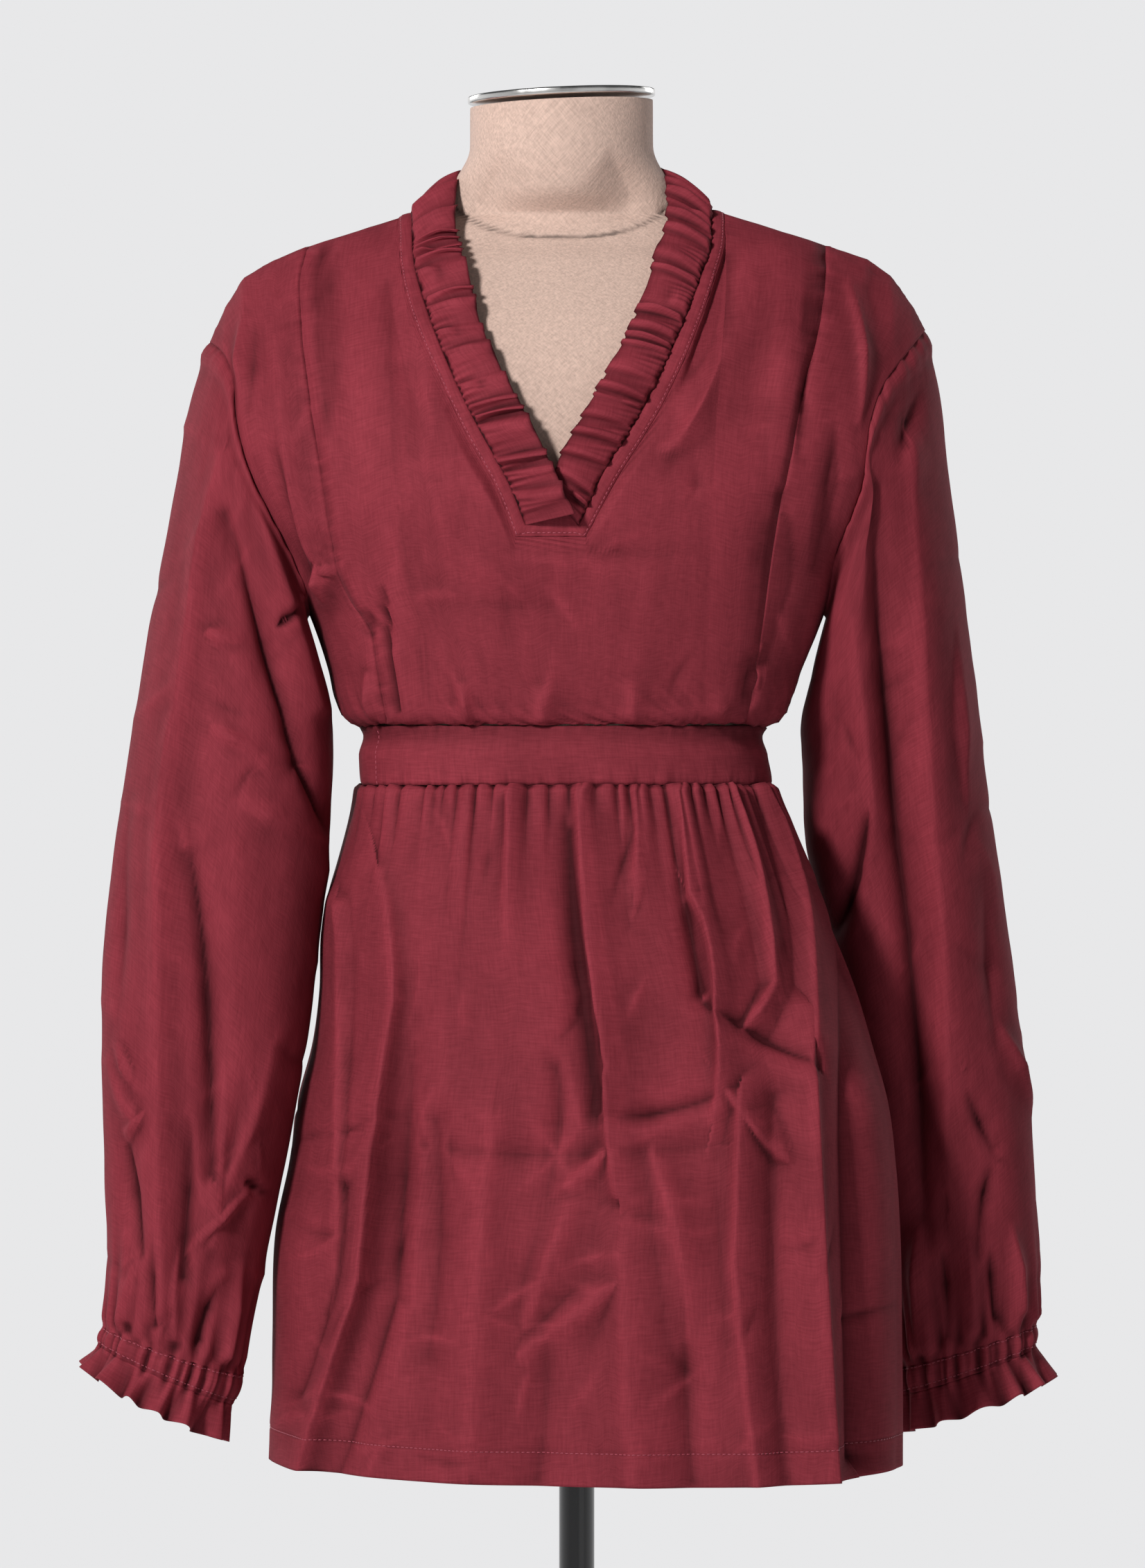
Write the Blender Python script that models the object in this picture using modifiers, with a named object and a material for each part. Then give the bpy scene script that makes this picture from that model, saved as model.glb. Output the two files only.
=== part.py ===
"""Long-sleeved V-neck blouse with a gathered skirt part, on a limbless dress form.

Metres, +Z up, origin at the centre of the stand's underside.  The front faces -Y.
The tables give sizes in millimetres, one row for each section, seam point or fold.
"""
import math
import random

import bpy
import numpy as np

MM = 0.001

# ---------------------------------------------------------------- driving sizes
CLOTH = 1.3 * MM                # wall of the blouse's cloth
BAND_CLOTH = 1.6 * MM           # wall of the bands and casings
FRILL_CLOTH = 1.0 * MM          # wall of the frills
SEAM_GAP = 0.2 * MM             # each piece stops this far short of its seam
WAIST_TOP = 1121 * MM
WAIST_BOTTOM = 1087 * MM
HEM_Z = 684 * MM
HEM_RISE = 5 * MM               # the hem is this much higher at the sides
ROUND_OVER = 110 * MM           # height over which the chest rounds on to the shoulder
BODY_POWER = 2.5                # 2 is an ellipse, more is squarer
FORM_INSET = 5.5 * MM           # the form lies this far inside the bodice
FORM_DROP = 2.4 * MM            # and this far below the shoulder seams
NECK_CLEARANCE = 5 * MM         # more room under the bands round the neck
NECK_CENTRE = -9 * MM
POLE_RADIUS = 10.5 * MM
BASE_RADIUS = 180 * MM
BASE_HEIGHT = 12 * MM
FORM_BOTTOM = 862 * MM         # the lowest of FORM_LEVELS
BELOW_ARMHOLE_ROWS = 3          # rows of the bodice from the waist to the underarm
ARMHOLE_ROWS = 10               # rows from the underarm to the shoulder tip
SHOULDER_ROWS = 1.5             # above 1, rows crowd towards the shoulder
SIDE_COLUMNS = 5                # columns of a side front
SLEEVE_ROWS = 15
SKIRT_ROWS = 13
CASING_GATHERS = 20
CUFF_WAVES = 14
BACK_GATHERS = 20
UNDERARM_Z = 1192 * MM
SLEEVE_HEAD = 0.3               # share of a sleeve over which it leaves the armhole's shape
SKIRT_FOLD_Z = 885 * MM         # height of the middle places in the skirt's fold table
TO_THE_HEM = 700 * MM           # folds that fade below this height run down to the hem
FADE_LENGTH = 60 * MM           # other folds fade out over this length
SIDE_MARGIN = (0.12, 0.10, 0.08)    # plain strip at a side seam: top, middle and hem angle
RUFFLE_PLEATS = [3] * 8 + [1, 2, 2, 2, 2, 2, 2, 1] + [3] * 8    # for each neckline row
RUFFLE_SWING = (0.6, 2.4, 3.6)      # mm that its gathers stand out: seam, middle and edge
RUFFLE_LIFT = 0.6 * MM
CASING_HEIGHTS = (1.0, 1.4, 1.0)    # mm of its gathers: top, middle and bottom
CUFF_FRILL_HEIGHTS = (1.0, 3.2, 5.5)
CAP_RADIUS = 55 * MM
CAP_HEIGHT = 9 * MM
CAP_Z = 1494.8 * MM
CAP_DEPTH_SHARE = 0.84          # the neck and its cap are this much less deep than wide
STAND_GAP = 0.3 * MM            # from the pole to the form and to the base
EDGE_ROUNDING = 2 * MM

WINE = (0.155, 0.018, 0.032)
LINEN = (0.52, 0.43, 0.32)
STEEL = (0.75, 0.74, 0.72)
BLACK = (0.012, 0.012, 0.013)


def table(names, *rows):
    """Rows of millimetres as named columns in metres."""
    columns = zip(*rows)
    return {name: np.array(column) * MM for name, column in zip(names.split(), columns)}


# The bodice's level sections.  Above the underarm, half_width is that of the
# rounded chest which the armholes cut off.  Below the waist it is the form's hips.
BODY = table(
    "z centre half_width front back",
    (860, 0, 124, 93, 90),
    (920, 0, 128, 97, 94),
    (1000, -3, 122, 92, 86),
    (1060, -6, 117, 90, 80),
    (1087, -6, 121, 92, 80),
    (1104, -8, 119.5, 91, 79),
    (1121, -8.3, 120.6, 92, 80),
    (1126, -8, 129, 96, 83),
    (1135, -8, 134, 99, 86),
    (1155, -7, 140, 103, 89),
    (1174, -6, 147, 106, 92),
    (1192, -6, 154, 109, 94),
    (1223, -8, 168, 112, 97),
    (1245, -8, 185, 112, 99),
    (1281, -8, 206, 107, 101),
    (1310, -8, 214, 99, 101),
    (1350, -8, 222, 86, 96),
    (1400, -8, 223, 64, 84),
    (1445, -8, 223, 48, 70),
)

# The shoulder line seen from the front, from the left tip over the neck.
SHOULDER = table(
    "x z",
    (-226, 1322), (-217, 1349), (-208, 1369), (-197, 1387), (-180, 1397),
    (-157, 1406), (-103, 1423), (-60, 1435), (-8, 1441), (45, 1436), (87, 1425),
    (147, 1406), (172, 1398), (186, 1388), (198, 1371), (206, 1356), (214, 1334),
)

# The armhole seams from the underarm to the shoulder tip.
ARMHOLE = table(
    "step left_x left_z right_x right_z",
    (0, -160, 1192, 148, 1192),
    (100, -162, 1207, 150, 1207),
    (200, -168, 1222, 153, 1223),
    (350, -179, 1245, 161, 1245),
    (500, -192, 1273, 168, 1268),
    (650, -199, 1302, 171, 1298),
    (780, -201, 1325, 180, 1322),
    (900, -208, 1341, 195, 1342),
    (1000, -217, 1349, 206, 1356),
)

# The princess seams from the waist to the shoulder.
PRINCESS = table(
    "step left_x left_z right_x right_z",
    (0, -110.5, 1121.2, 99, 1121.2),
    (115, -115, 1145, 105, 1145),
    (231, -120, 1172, 109.5, 1172),
    (400, -138, 1205, 114, 1208),
    (520, -145, 1240, 119, 1245),
    (650, -150, 1275, 125, 1281),
    (780, -156, 1315, 133, 1320),
    (900, -161.5, 1362, 143, 1362),
    (960, -162, 1388, 146.5, 1388),
    (1000, -158, 1405.7, 147, 1406),
)

# The neckline from the foot of the V up the left side, round the back of the
# neck and down the right side.  face is -1 at the front and 1 at the back.
NECKLINE = table(
    "face band_x band_z seam_x seam_z edge_x edge_y edge_z",
    (-1000, -35.5, 1230, -29.5, 1237, -1, -126, 1243),
    (-1000, -47, 1259, -39.8, 1262.8, -12, -125, 1268),
    (-1000, -63.5, 1288.5, -55.9, 1292, -27, -118, 1298),
    (-1000, -77.5, 1318, -69.3, 1319, -42, -104, 1328),
    (-1000, -89.5, 1344, -81, 1347, -54, -89, 1353),
    (-1000, -98.5, 1368, -89.5, 1371, -61, -72, 1379),
    (-1000, -103.5, 1392, -95, 1392, -67.5, -54, 1399),
    (-1000, -105, 1409, -97, 1409, -71, -31, 1421),
    (1000, -103.4, 1422.9, -94, 1425.5, -69, 0, 1449),
    (1000, -92, 1419.5, -84, 1424, -64, 24, 1451),
    (1000, -72, 1415, -67, 1421, -55, 42, 1452),
    (1000, -40, 1409, -38, 1416, -31, 52, 1453),
    (1000, -8, 1406.5, -8, 1414, -8, 57, 1453),
    (1000, 24, 1409, 22, 1416, 14, 52, 1453),
    (1000, 56, 1415, 52, 1421, 37, 42, 1452),
    (1000, 76, 1420, 68, 1424, 46, 24, 1451),
    (1000, 87.3, 1424.9, 78.5, 1427, 51, 0, 1449),
    (-1000, 86.5, 1406, 79, 1407, 53, -32, 1421),
    (-1000, 80.5, 1384, 73, 1385.5, 45, -53, 1399),
    (-1000, 73, 1361, 65, 1363.5, 38, -72, 1373),
    (-1000, 62.5, 1334, 54, 1337, 26, -91, 1345),
    (-1000, 49, 1306, 41, 1310, 13, -105, 1318),
    (-1000, 38.5, 1288, 31, 1292, 2, -112, 1299),
    (-1000, 23.5, 1264, 16.3, 1269, -10, -117, 1277),
    (-1000, 5, 1230, 1, 1237, -17, -118, 1256),
)
NECK_LEFT, NECK_RIGHT = 8, 16   # rows of the shoulder seams in NECKLINE

# The sleeves: outer and inner outline, half depth and how far back they hang.
SLEEVES = {
    "left": table(
        "step outer_x outer_z inner_x inner_z depth back",
        (0, -217, 1349, -160.5, 1192, 50, 0),
        (60, -229, 1316, -158.5, 1177, 56, 0),
        (140, -238.5, 1262, -152.5, 1154, 60, -2),
        (220, -247.5, 1212, -145.5, 1131, 61, -4),
        (320, -257, 1148, -143.5, 1101, 61, -8),
        (420, -266, 1087, -145.5, 1058, 61, -10),
        (550, -277, 1010, -151.5, 1003, 60, -12),
        (680, -280, 935, -161, 930, 57, -14),
        (800, -279, 865, -174, 858, 53, -15),
        (910, -278, 806, -187, 792, 48, -16),
        (1000, -279, 768, -197, 740, 40, -16),
    ),
    "right": table(
        "step outer_x outer_z inner_x inner_z depth back",
        (0, 206, 1356, 148.5, 1192, 50, 0),
        (60, 214, 1319, 146.5, 1177, 56, 4),
        (140, 219.5, 1268, 140, 1154, 60, 12),
        (220, 227, 1218, 134.5, 1130, 61, 22),
        (320, 235.5, 1156, 134.5, 1097, 61, 34),
        (420, 244.5, 1090, 137, 1055, 61, 44),
        (550, 257, 1010, 148, 1001, 60, 56),
        (680, 266.5, 933, 161, 930, 57, 61),
        (800, 273, 866, 171, 860, 53, 62),
        (910, 277, 803, 181, 795, 48, 60),
        (1000, 275, 764, 190, 738, 40, 58),
    ),
}
SLEEVE_FOLDS = table(
    # around runs from 0 at the outer side over 500 at the front to 1000 inside
    "start end from_around to_around height width",
    (40, 560, 300, 760, -6, 70),
    (100, 900, 250, 330, 5, 80),
    (420, 900, 420, 560, -6, 80),
    (620, 980, 620, 780, 5, 90),
    (660, 960, 120, 240, -4, 80),
    (180, 900, 1250, 1400, -5, 90),
    (260, 800, 1500, 1680, 5, 90),
)
CUFFS = {
    "left": table(
        "outer_x outer_z inner_x inner_z depth",
        (-279, 768, -197, 740, 40),
        (-280.5, 762.5, -200, 731, 39),
        (-282, 757.5, -203, 722.5, 39.5),
        (-286.5, 750, -206, 712, 42),
        (-291, 743.5, -209, 701.5, 46),
    ),
    "right": table(
        "outer_x outer_z inner_x inner_z depth",
        (275, 764, 190, 738, 40),
        (275, 757.5, 191, 729.5, 39),
        (275, 750.5, 192, 721.5, 39.5),
        (280, 741, 192.5, 711, 42),
        (285.5, 731.5, 193, 699.5, 46),
    ),
}
CUFF_BACK = {"left": -16 * MM, "right": 58 * MM}

SKIRT = table(
    "z left right front back",
    (684, -180, 191, 127, 120),
    (715, -180, 191, 126, 119),
    (760, -180, 190.5, 124, 117),
    (820, -178, 189.5, 121, 115),
    (860, -170, 187, 118, 112),
    (900, -164, 182, 116, 110),
    (930, -156, 174, 114, 108),
    (965, -152, 164, 111, 105),
    (1000, -151, 150.5, 108, 102),
    (1020, -147.5, 142, 105, 99),
    (1040, -141, 132.5, 102, 94),
    (1060, -135, 124.5, 98, 88),
    (1087, -127.3, 115.3, 92, 80),
)
SKIRT_SIDE_Y = {"left": 24 * MM, "right": -44 * MM}

# The front's gathers: the ridge's place at the seam, half way and at the hem,
# the height at which it has faded, and how far it stands out.
FRONT_FOLDS = table(
    "top middle bottom fades height",
    (-115, -136, -139, 600, 7),
    (-102, -113, -158, 600, 9),
    (-93, -100, -130, 1000, 3),
    (-85, -94, -112, 1040, 3),
    (-77, -88, -96, 960, 5),
    (-68, -74, -80, 1030, 3.5),
    (-58, -62, -68, 1045, 3),
    (-48, -50, -54, 1030, 4),
    (-39, -38, -44, 900, 5),
    (-28, -27, -30, 1045, 3),
    (-15, -11, -9, 1040, 3.5),
    (2, 19, 26, 600, 8),
    (12, 30, 42, 1040, 3),
    (22, 40, 54, 1020, 3),
    (33, 50, 64, 930, 5),
    (43, 60, 74, 1040, 3),
    (52, 69, 85, 1030, 3),
    (61, 82, 100, 600, 10),
    (71, 93, 110, 1010, 3.5),
    (80, 102, 120, 1030, 3),
    (90, 114, 130, 900, 6),
    (103, 132, 146, 600, 9),
)


RING = ("outer_x", "outer_z", "inner_x", "inner_z", "depth")
# The form's width where it is not simply the bodice's less FORM_INSET.
FORM_WIDTH = table(
    "z left right",
    (1192, -148, 134), (1223, -160, 146), (1245, -172, 158), (1281, -186, 172),
    (1310, -192, 178), (1340, -196, 182), (1360, -196, 181), (1375, -194, 178),
    (1386, -188, 172), (1394, -174, 160), (1402, -154, 143), (1410, -128, 118),
    (1417, -101, 88), (1424, -76, 58),
)
FORM_LEVELS = (862, 868, 900, 950, 1000, 1050, 1090, 1119, 1150, 1192, 1223, 1250, 1281, 1310,
               1340, 1360, 1375, 1386, 1394, 1402, 1410, 1417, 1424)
FORM_FOOT = 0.93                # the lowest ring's share of its full size
NECK_FORM = table(
    "z half front back",
    (1424.3, 60, 34, 34), (1432, 59, 40, 40), (1444, 56, 42, 42),
    (1452, 55, 44, 44), (1490, 54, 44, 44),
)


# -------------------------------------------------------------- reading tables
def read(rows, name, at, key="z"):
    """One column of a table at the given places, as a smooth curve."""
    knots, values = rows[key], rows[name]
    at = np.clip(np.asarray(at, float), knots[0], knots[-1])
    slopes = np.gradient(values, knots)
    i = np.clip(np.searchsorted(knots, at, side="right") - 1, 0, len(knots) - 2)
    span = knots[i + 1] - knots[i]
    t = (at - knots[i]) / span
    start = (1 + 2 * t) * (1 - t) ** 2 * values[i] + t * (1 - t) ** 2 * span * slopes[i]
    end = t * t * (3 - 2 * t) * values[i + 1] + t * t * (t - 1) * span * slopes[i + 1]
    return start + end


def ease(t):
    """0 to 1 with level ends."""
    t = np.clip(t, 0, 1)
    return t * t * (3 - 2 * t)


# ------------------------------------------------------------------- the body
def body_y(x, z, face, inset=0.0, drop=0.0):
    """How far the body's surface lies in front (face -1) or behind (face 1)."""
    x, z = np.asarray(x, float), np.asarray(z, float)
    across = np.abs(x - read(BODY, "centre", z)) / (read(BODY, "half_width", z) - inset)
    section = np.clip(1 - across ** BODY_POWER, 0, 1) ** (1 / BODY_POWER)
    deep = read(BODY, "front" if face < 0 else "back", z) - inset
    below = np.interp(x, SHOULDER["x"], SHOULDER["z"]) - drop - z
    over = np.clip(1 - below / ROUND_OVER, 0, 1)
    return face * deep * section * np.sqrt(1 - over ** 2)


def bodice_grid(face):
    """The bodice's front or back as one grid, rows from waist to top edge."""
    rows = BELOW_ARMHOLE_ROWS + ARMHOLE_ROWS
    v = np.linspace(0, 1, rows + 1)
    under = BELOW_ARMHOLE_ROWS
    split = under / rows
    left_over = np.clip((1 - v) / (1 - split), 0, 1)
    v = np.where(v > split, 1 - (1 - split) * left_over ** SHOULDER_ROWS, v)
    sides = []
    for side, sign in (("left", -1), ("right", 1)):
        z = np.interp(v[: under + 1], (0, split), (WAIST_TOP + SEAM_GAP, UNDERARM_Z))
        x = read(BODY, "centre", z) + sign * read(BODY, "half_width", z)
        step = (v[under + 1:] - split) / (1 - split)
        hole_x = read(ARMHOLE, side + "_x", step, "step")
        hole_z = read(ARMHOLE, side + "_z", step, "step")
        outer = np.column_stack((np.append(x, hole_x), np.append(z, hole_z)))
        seam = np.column_stack([read(PRINCESS, side + part, v, "step") for part in ("_x", "_z")])
        sides.append((outer, seam))
    (left_out, left_seam), (right_out, right_seam) = sides
    centre = centre_columns(face, left_seam, right_seam, v)
    columns = side_columns(left_out, left_seam) + centre[1:-1]
    columns += side_columns(right_out, right_seam)[::-1]
    flat = np.stack(columns, axis=1)
    y = body_y(flat[..., 0], flat[..., 1], face)
    return np.stack((flat[..., 0], y, flat[..., 1]), axis=-1)


def side_columns(outer, seam):
    """Columns from the side seam and armhole to the princess seam."""
    columns = []
    top = len(outer) - 1
    lift = np.linspace(0, 1, len(outer)) ** 4
    for i in range(SIDE_COLUMNS + 1):
        share = 1 - math.cos(i / SIDE_COLUMNS * math.pi / 2) if i < SIDE_COLUMNS else 1.0
        share = 0.6 * share + 0.4 * i / SIDE_COLUMNS
        column = outer * (1 - share) + seam * share
        line = np.interp(column[top, 0], SHOULDER["x"], SHOULDER["z"])
        column[:, 1] += lift * (line - column[top, 1])
        columns.append(column)
    return columns


def neck_rows(face):
    """The neckline's rows along the front or back, left to right, with the V's foot."""
    if face > 0:
        return list(range(NECK_LEFT, NECK_RIGHT + 1))
    foot = len(NECKLINE["face"])
    return list(range(NECK_LEFT, -1, -1)) + [foot] + list(range(foot - 1, NECK_RIGHT - 1, -1))


def neck_line(x_name, z_name):
    """A line round the neckline on the body's surface, closed at the foot of the V."""
    x, z = NECKLINE[x_name], NECKLINE[z_name]
    x, z = np.append(x, (x[0] + x[-1]) / 2), np.append(z, (z[0] + z[-1]) / 2)
    face = np.append(NECKLINE["face"], -1)
    y = np.where(face < 0, body_y(x, z, -1), body_y(x, z, 1))
    y[[NECK_LEFT, NECK_RIGHT]] = 0
    return np.column_stack((x, y, z))


def neck_normals():
    """Outward normals of the body along the neckline."""
    step = 2 * MM
    band = neck_line("band_x", "band_z")
    facing = []
    for row, (x, y, z) in enumerate(band):
        if row in (NECK_LEFT, NECK_RIGHT):
            low, high = (np.interp(x + d, SHOULDER["x"], SHOULDER["z"]) for d in (-step, step))
            normal = np.array((low - high, 0, 2 * step))
        else:
            face = 1 if NECK_LEFT < row < NECK_RIGHT else -1
            slope_x = (body_y(x + step, z, face) - body_y(x - step, z, face)) / (2 * step)
            slope_z = (body_y(x, z + step, face) - body_y(x, z - step, face)) / (2 * step)
            normal = face * np.array((-slope_x, 1, -slope_z))
        facing.append(normal / np.linalg.norm(normal))
    return np.array(facing)


def neck_edge(face):
    """The panel's neck edge, just clear of the band, and its normals."""
    band, seam = neck_line("band_x", "band_z"), neck_line("seam_x", "seam_z")
    away = band - seam
    rows = neck_rows(face)
    edge = band + away / np.linalg.norm(away, axis=1, keepdims=True) * SEAM_GAP
    for row in (NECK_LEFT, NECK_RIGHT):
        edge[row, 1] = face * SEAM_GAP
    return edge[rows], neck_normals()[rows]


def centre_columns(face, left, right, v):
    """Columns between the princess seams, up to the neckline."""
    band = neck_line("band_x", "band_z")
    tops = [left[-1]] + [band[row, [0, 2]] for row in neck_rows(face)] + [right[-1]]
    columns = []
    rise_left = (left[:, 1] - left[0, 1]) / (left[-1, 1] - left[0, 1])
    rise_right = (right[:, 1] - right[0, 1]) / (right[-1, 1] - right[0, 1])
    for i, top in enumerate(tops):
        even = i / (len(tops) - 1)
        share = 0.5 * even + 0.5 * (top[0] - left[-1, 0]) / (right[-1, 0] - left[-1, 0])
        bottom_x = left[0, 0] * (1 - share) + right[0, 0] * share
        rise = rise_left * (1 - share) + rise_right * share
        bulge_left = left[:, 0] - (left[0, 0] * (1 - rise_left) + left[-1, 0] * rise_left)
        bulge_right = right[:, 0] - (right[0, 0] * (1 - rise_right) + right[-1, 0] * rise_right)
        x = bottom_x * (1 - rise) + top[0] * rise
        x = x + bulge_left * max(0, 1 - 2 * share) + bulge_right * max(0, 2 * share - 1)
        columns.append(np.column_stack((x, left[0, 1] * (1 - rise) + top[1] * rise)))
    return columns


# ------------------------------------------------------------- walls and meshes
def normals(grid, wrap=False):
    """Unit normals of a grid of points, to the left of its rows going up."""
    if wrap:
        across = np.roll(grid, -1, axis=1) - np.roll(grid, 1, axis=1)
    else:
        across = np.gradient(grid, axis=1)
    up = np.gradient(grid, axis=0)
    normal = np.cross(across, up)
    return normal / np.maximum(np.linalg.norm(normal, axis=-1, keepdims=True), 1e-12)


def in_seam_plane(normal):
    """Turn the normals of a side or shoulder seam into its own plane."""
    normal = normal * np.array((1.0, 0.0, 1.0))
    return normal / np.linalg.norm(normal, axis=-1, keepdims=True)


def pull_in(grid, edges):
    """Stop a piece just short of its seams: edges names left, right, bottom, top."""
    grid = grid.copy()
    views = {
        "left": (grid[:, 0], grid[:, 1]), "right": (grid[:, -1], grid[:, -2]),
        "bottom": (grid[0], grid[1]), "top": (grid[-1], grid[-2]),
    }
    for name in edges.split():
        edge, inside = views[name]
        step = inside - edge
        length = np.linalg.norm(step, axis=-1, keepdims=True)
        edge += step / length * SEAM_GAP
    return grid


def wall(name, grid, normal, thickness, colour, wrap=False):
    """A closed wall whose outer face is the grid."""
    rows, columns = grid.shape[:2]
    inner = grid - normal * thickness
    points = np.concatenate((grid.reshape(-1, 3), inner.reshape(-1, 3)))
    count = rows * columns
    faces = []
    last = columns if wrap else columns - 1
    for r in range(rows - 1):
        for c in range(last):
            a, b = r * columns + c, r * columns + (c + 1) % columns
            d, e = a + columns, b + columns
            faces.append((a, b, e, d))
            faces.append((a + count, d + count, e + count, b + count))
    for c in range(last):
        a, b = c, (c + 1) % columns
        faces.append((b, a, a + count, b + count))
        a, b = a + (rows - 1) * columns, b + (rows - 1) * columns
        faces.append((a, b, b + count, a + count))
    if not wrap:
        for r in range(rows - 1):
            a, d = r * columns, (r + 1) * columns
            faces.append((a, d, d + count, a + count))
            b, e = a + columns - 1, d + columns - 1
            faces.append((e, b, b + count, e + count))
    return add_mesh(name, points, faces, colour)


def loft(name, rings, colour):
    """A closed solid through level rings of points."""
    count = len(rings[0])
    points = np.concatenate(rings)
    faces = [tuple(range(count))[::-1]]
    for r in range(len(rings) - 1):
        for c in range(count):
            a, b = r * count + c, r * count + (c + 1) % count
            faces.append((a, b, b + count, a + count))
    last = (len(rings) - 1) * count
    faces.append(tuple(range(last, last + count)))
    return add_mesh(name, points, faces, colour)


def material(name, colour, roughness, metallic):
    """A plain Principled material."""
    made = bpy.data.materials.new(name)
    made.use_nodes = True
    shader = made.node_tree.nodes["Principled BSDF"]
    shader.inputs["Base Color"].default_value = (*colour, 1)
    shader.inputs["Roughness"].default_value = roughness
    shader.inputs["Metallic"].default_value = metallic
    return made


def finish(obj, colour):
    """Give an object its material and round shading, in the blouse's collection."""
    metallic = 1.0 if colour == STEEL else 0.0
    roughness = {STEEL: 0.25, BLACK: 0.2}.get(colour, 0.75)
    obj.data.materials.clear()
    obj.data.materials.append(material(obj.name + "_finish", colour, roughness, metallic))
    obj.data.shade_smooth()
    obj.data.set_sharp_from_angle(angle=math.radians(40))
    for old in list(obj.users_collection):
        old.objects.unlink(obj)
    bpy.data.collections["blouse_on_dress_form"].objects.link(obj)
    return obj


def add_mesh(name, points, faces, colour):
    """An object from points and faces."""
    mesh = bpy.data.meshes.new(name)
    mesh.from_pydata([tuple(point) for point in points], [], faces)
    mesh.validate()
    return finish(bpy.data.objects.new(name, mesh), colour)


# ----------------------------------------------------------------- the bodice
def make_bodice():
    """Front centre, side fronts and back; returns the armholes for the sleeves."""
    front, back = bodice_grid(-1), bodice_grid(1)
    front_normal, back_normal = normals(front), -normals(back)
    centre_top = slice(SIDE_COLUMNS + 1, -SIDE_COLUMNS - 1)
    for grid_normal in (front_normal, back_normal):
        for column in (0, -1):
            grid_normal[: BELOW_ARMHOLE_ROWS + 1, column] = in_seam_plane(
                grid_normal[: BELOW_ARMHOLE_ROWS + 1, column])
        shoulder = np.ones(grid_normal.shape[1], bool)
        shoulder[centre_top] = False
        grid_normal[-1, shoulder] = in_seam_plane(grid_normal[-1, shoulder])
    front_edge, front_facing = neck_edge(-1)
    back_edge, back_facing = neck_edge(1)
    front_normal[-1, centre_top] = front_facing
    back_normal[-1, centre_top] = back_facing
    cuts = (
        ("front_side_left", slice(0, SIDE_COLUMNS + 1)),
        ("front_centre", slice(SIDE_COLUMNS, -SIDE_COLUMNS)),
        ("front_side_right", slice(-SIDE_COLUMNS - 1, None)),
    )
    for name, columns in cuts:
        piece = pull_in(front[:, columns], "left right top")
        if name == "front_centre":
            piece[-1, 1:-1] = front_edge
        wall(name, piece, front_normal[:, columns], CLOTH, WINE)
    back_piece = pull_in(back, "left right top")
    back_piece[-1, centre_top] = back_edge
    wall("back_panel", back_piece[:, ::-1], back_normal[:, ::-1], CLOTH, WINE)
    holes = {}
    start = BELOW_ARMHOLE_ROWS
    for side, column in (("left", 0), ("right", -1)):
        front_half = front[start:, column], front_normal[start:, column]
        back_half = back[start:, column], back_normal[start:, column]
        holes[side] = [
            np.concatenate((f[::-1], b[1:-1])) for f, b in zip(front_half, back_half)]
    return holes


# ---------------------------------------------------------------- the sleeves
def ring(rows, names, at, key, back, around):
    """One ring of a sleeve or cuff: around runs outer, front, inner, back."""
    outer_x, outer_z, inner_x, inner_z, depth = [
        read(rows, name, at, key) if key else rows[name][at] for name in names]
    centre = np.array(((outer_x + inner_x) / 2, back, (outer_z + inner_z) / 2))
    reach = np.array(((outer_x - inner_x) / 2, 0, (outer_z - inner_z) / 2))
    angle = around * math.pi
    forward = np.array((0.0, -1.0, 0.0)) * depth
    return centre + np.outer(np.cos(angle), reach) + np.outer(np.sin(angle), forward)


def fold_heights(step, around):
    """How far a sleeve's folds stand out of its plain ring."""
    total = np.zeros_like(around)
    for i in range(len(SLEEVE_FOLDS["start"])):
        fold = {name: column[i] for name, column in SLEEVE_FOLDS.items()}
        along = (step - fold["start"]) / (fold["end"] - fold["start"])
        if not 0 < along < 1:
            continue
        middle = fold["from_around"] + along * (fold["to_around"] - fold["from_around"])
        away = (around - middle) / fold["width"]
        total += fold["height"] * math.sin(math.pi * along) * np.exp(-away ** 2)
    return total


def make_sleeve(side, hole):
    """A sleeve from its armhole to the casing."""
    hole_points, hole_normals = hole
    count = len(hole_points)
    around = np.arange(count) / (count / 2)
    rows = SLEEVES[side]
    sign = -1 if side == "left" else 1
    steps = np.linspace(0, 1, SLEEVE_ROWS) ** 1.15
    rings = []
    first = None
    for step in steps:
        back = read(rows, "back", step, "step")
        plain = ring(rows, RING, step, "step", back, around)
        if first is None:
            first = plain
        share = 1 - ease(step / SLEEVE_HEAD)
        rings.append(plain + share * (hole_points - first))
    grid = np.stack(rings)
    outward = outward_normals(grid)
    for i, step in enumerate(steps):
        grid[i] += outward[i] * fold_heights(step, around)[:, None]
    down = np.maximum(np.cos(around * math.pi), 0)
    shift = np.column_stack((np.full(count, sign), np.zeros(count), -1.5 * down))
    grid[0] += shift / np.linalg.norm(shift, axis=1, keepdims=True) * 2 * SEAM_GAP
    normal = outward_normals(grid)
    normal[0] = hole_normals
    if side == "right":
        grid, normal = grid[:, ::-1], normal[:, ::-1]
    wall("sleeve_" + side, grid[::-1], normal[::-1], CLOTH, WINE, wrap=True)


def outward_normals(grid):
    """Normals of a closed tube, pointing away from its middle."""
    normal = normals(grid, wrap=True)
    away = grid - grid.mean(axis=1, keepdims=True)
    if np.sum(normal * away) < 0:
        normal = -normal
    return normal


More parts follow.
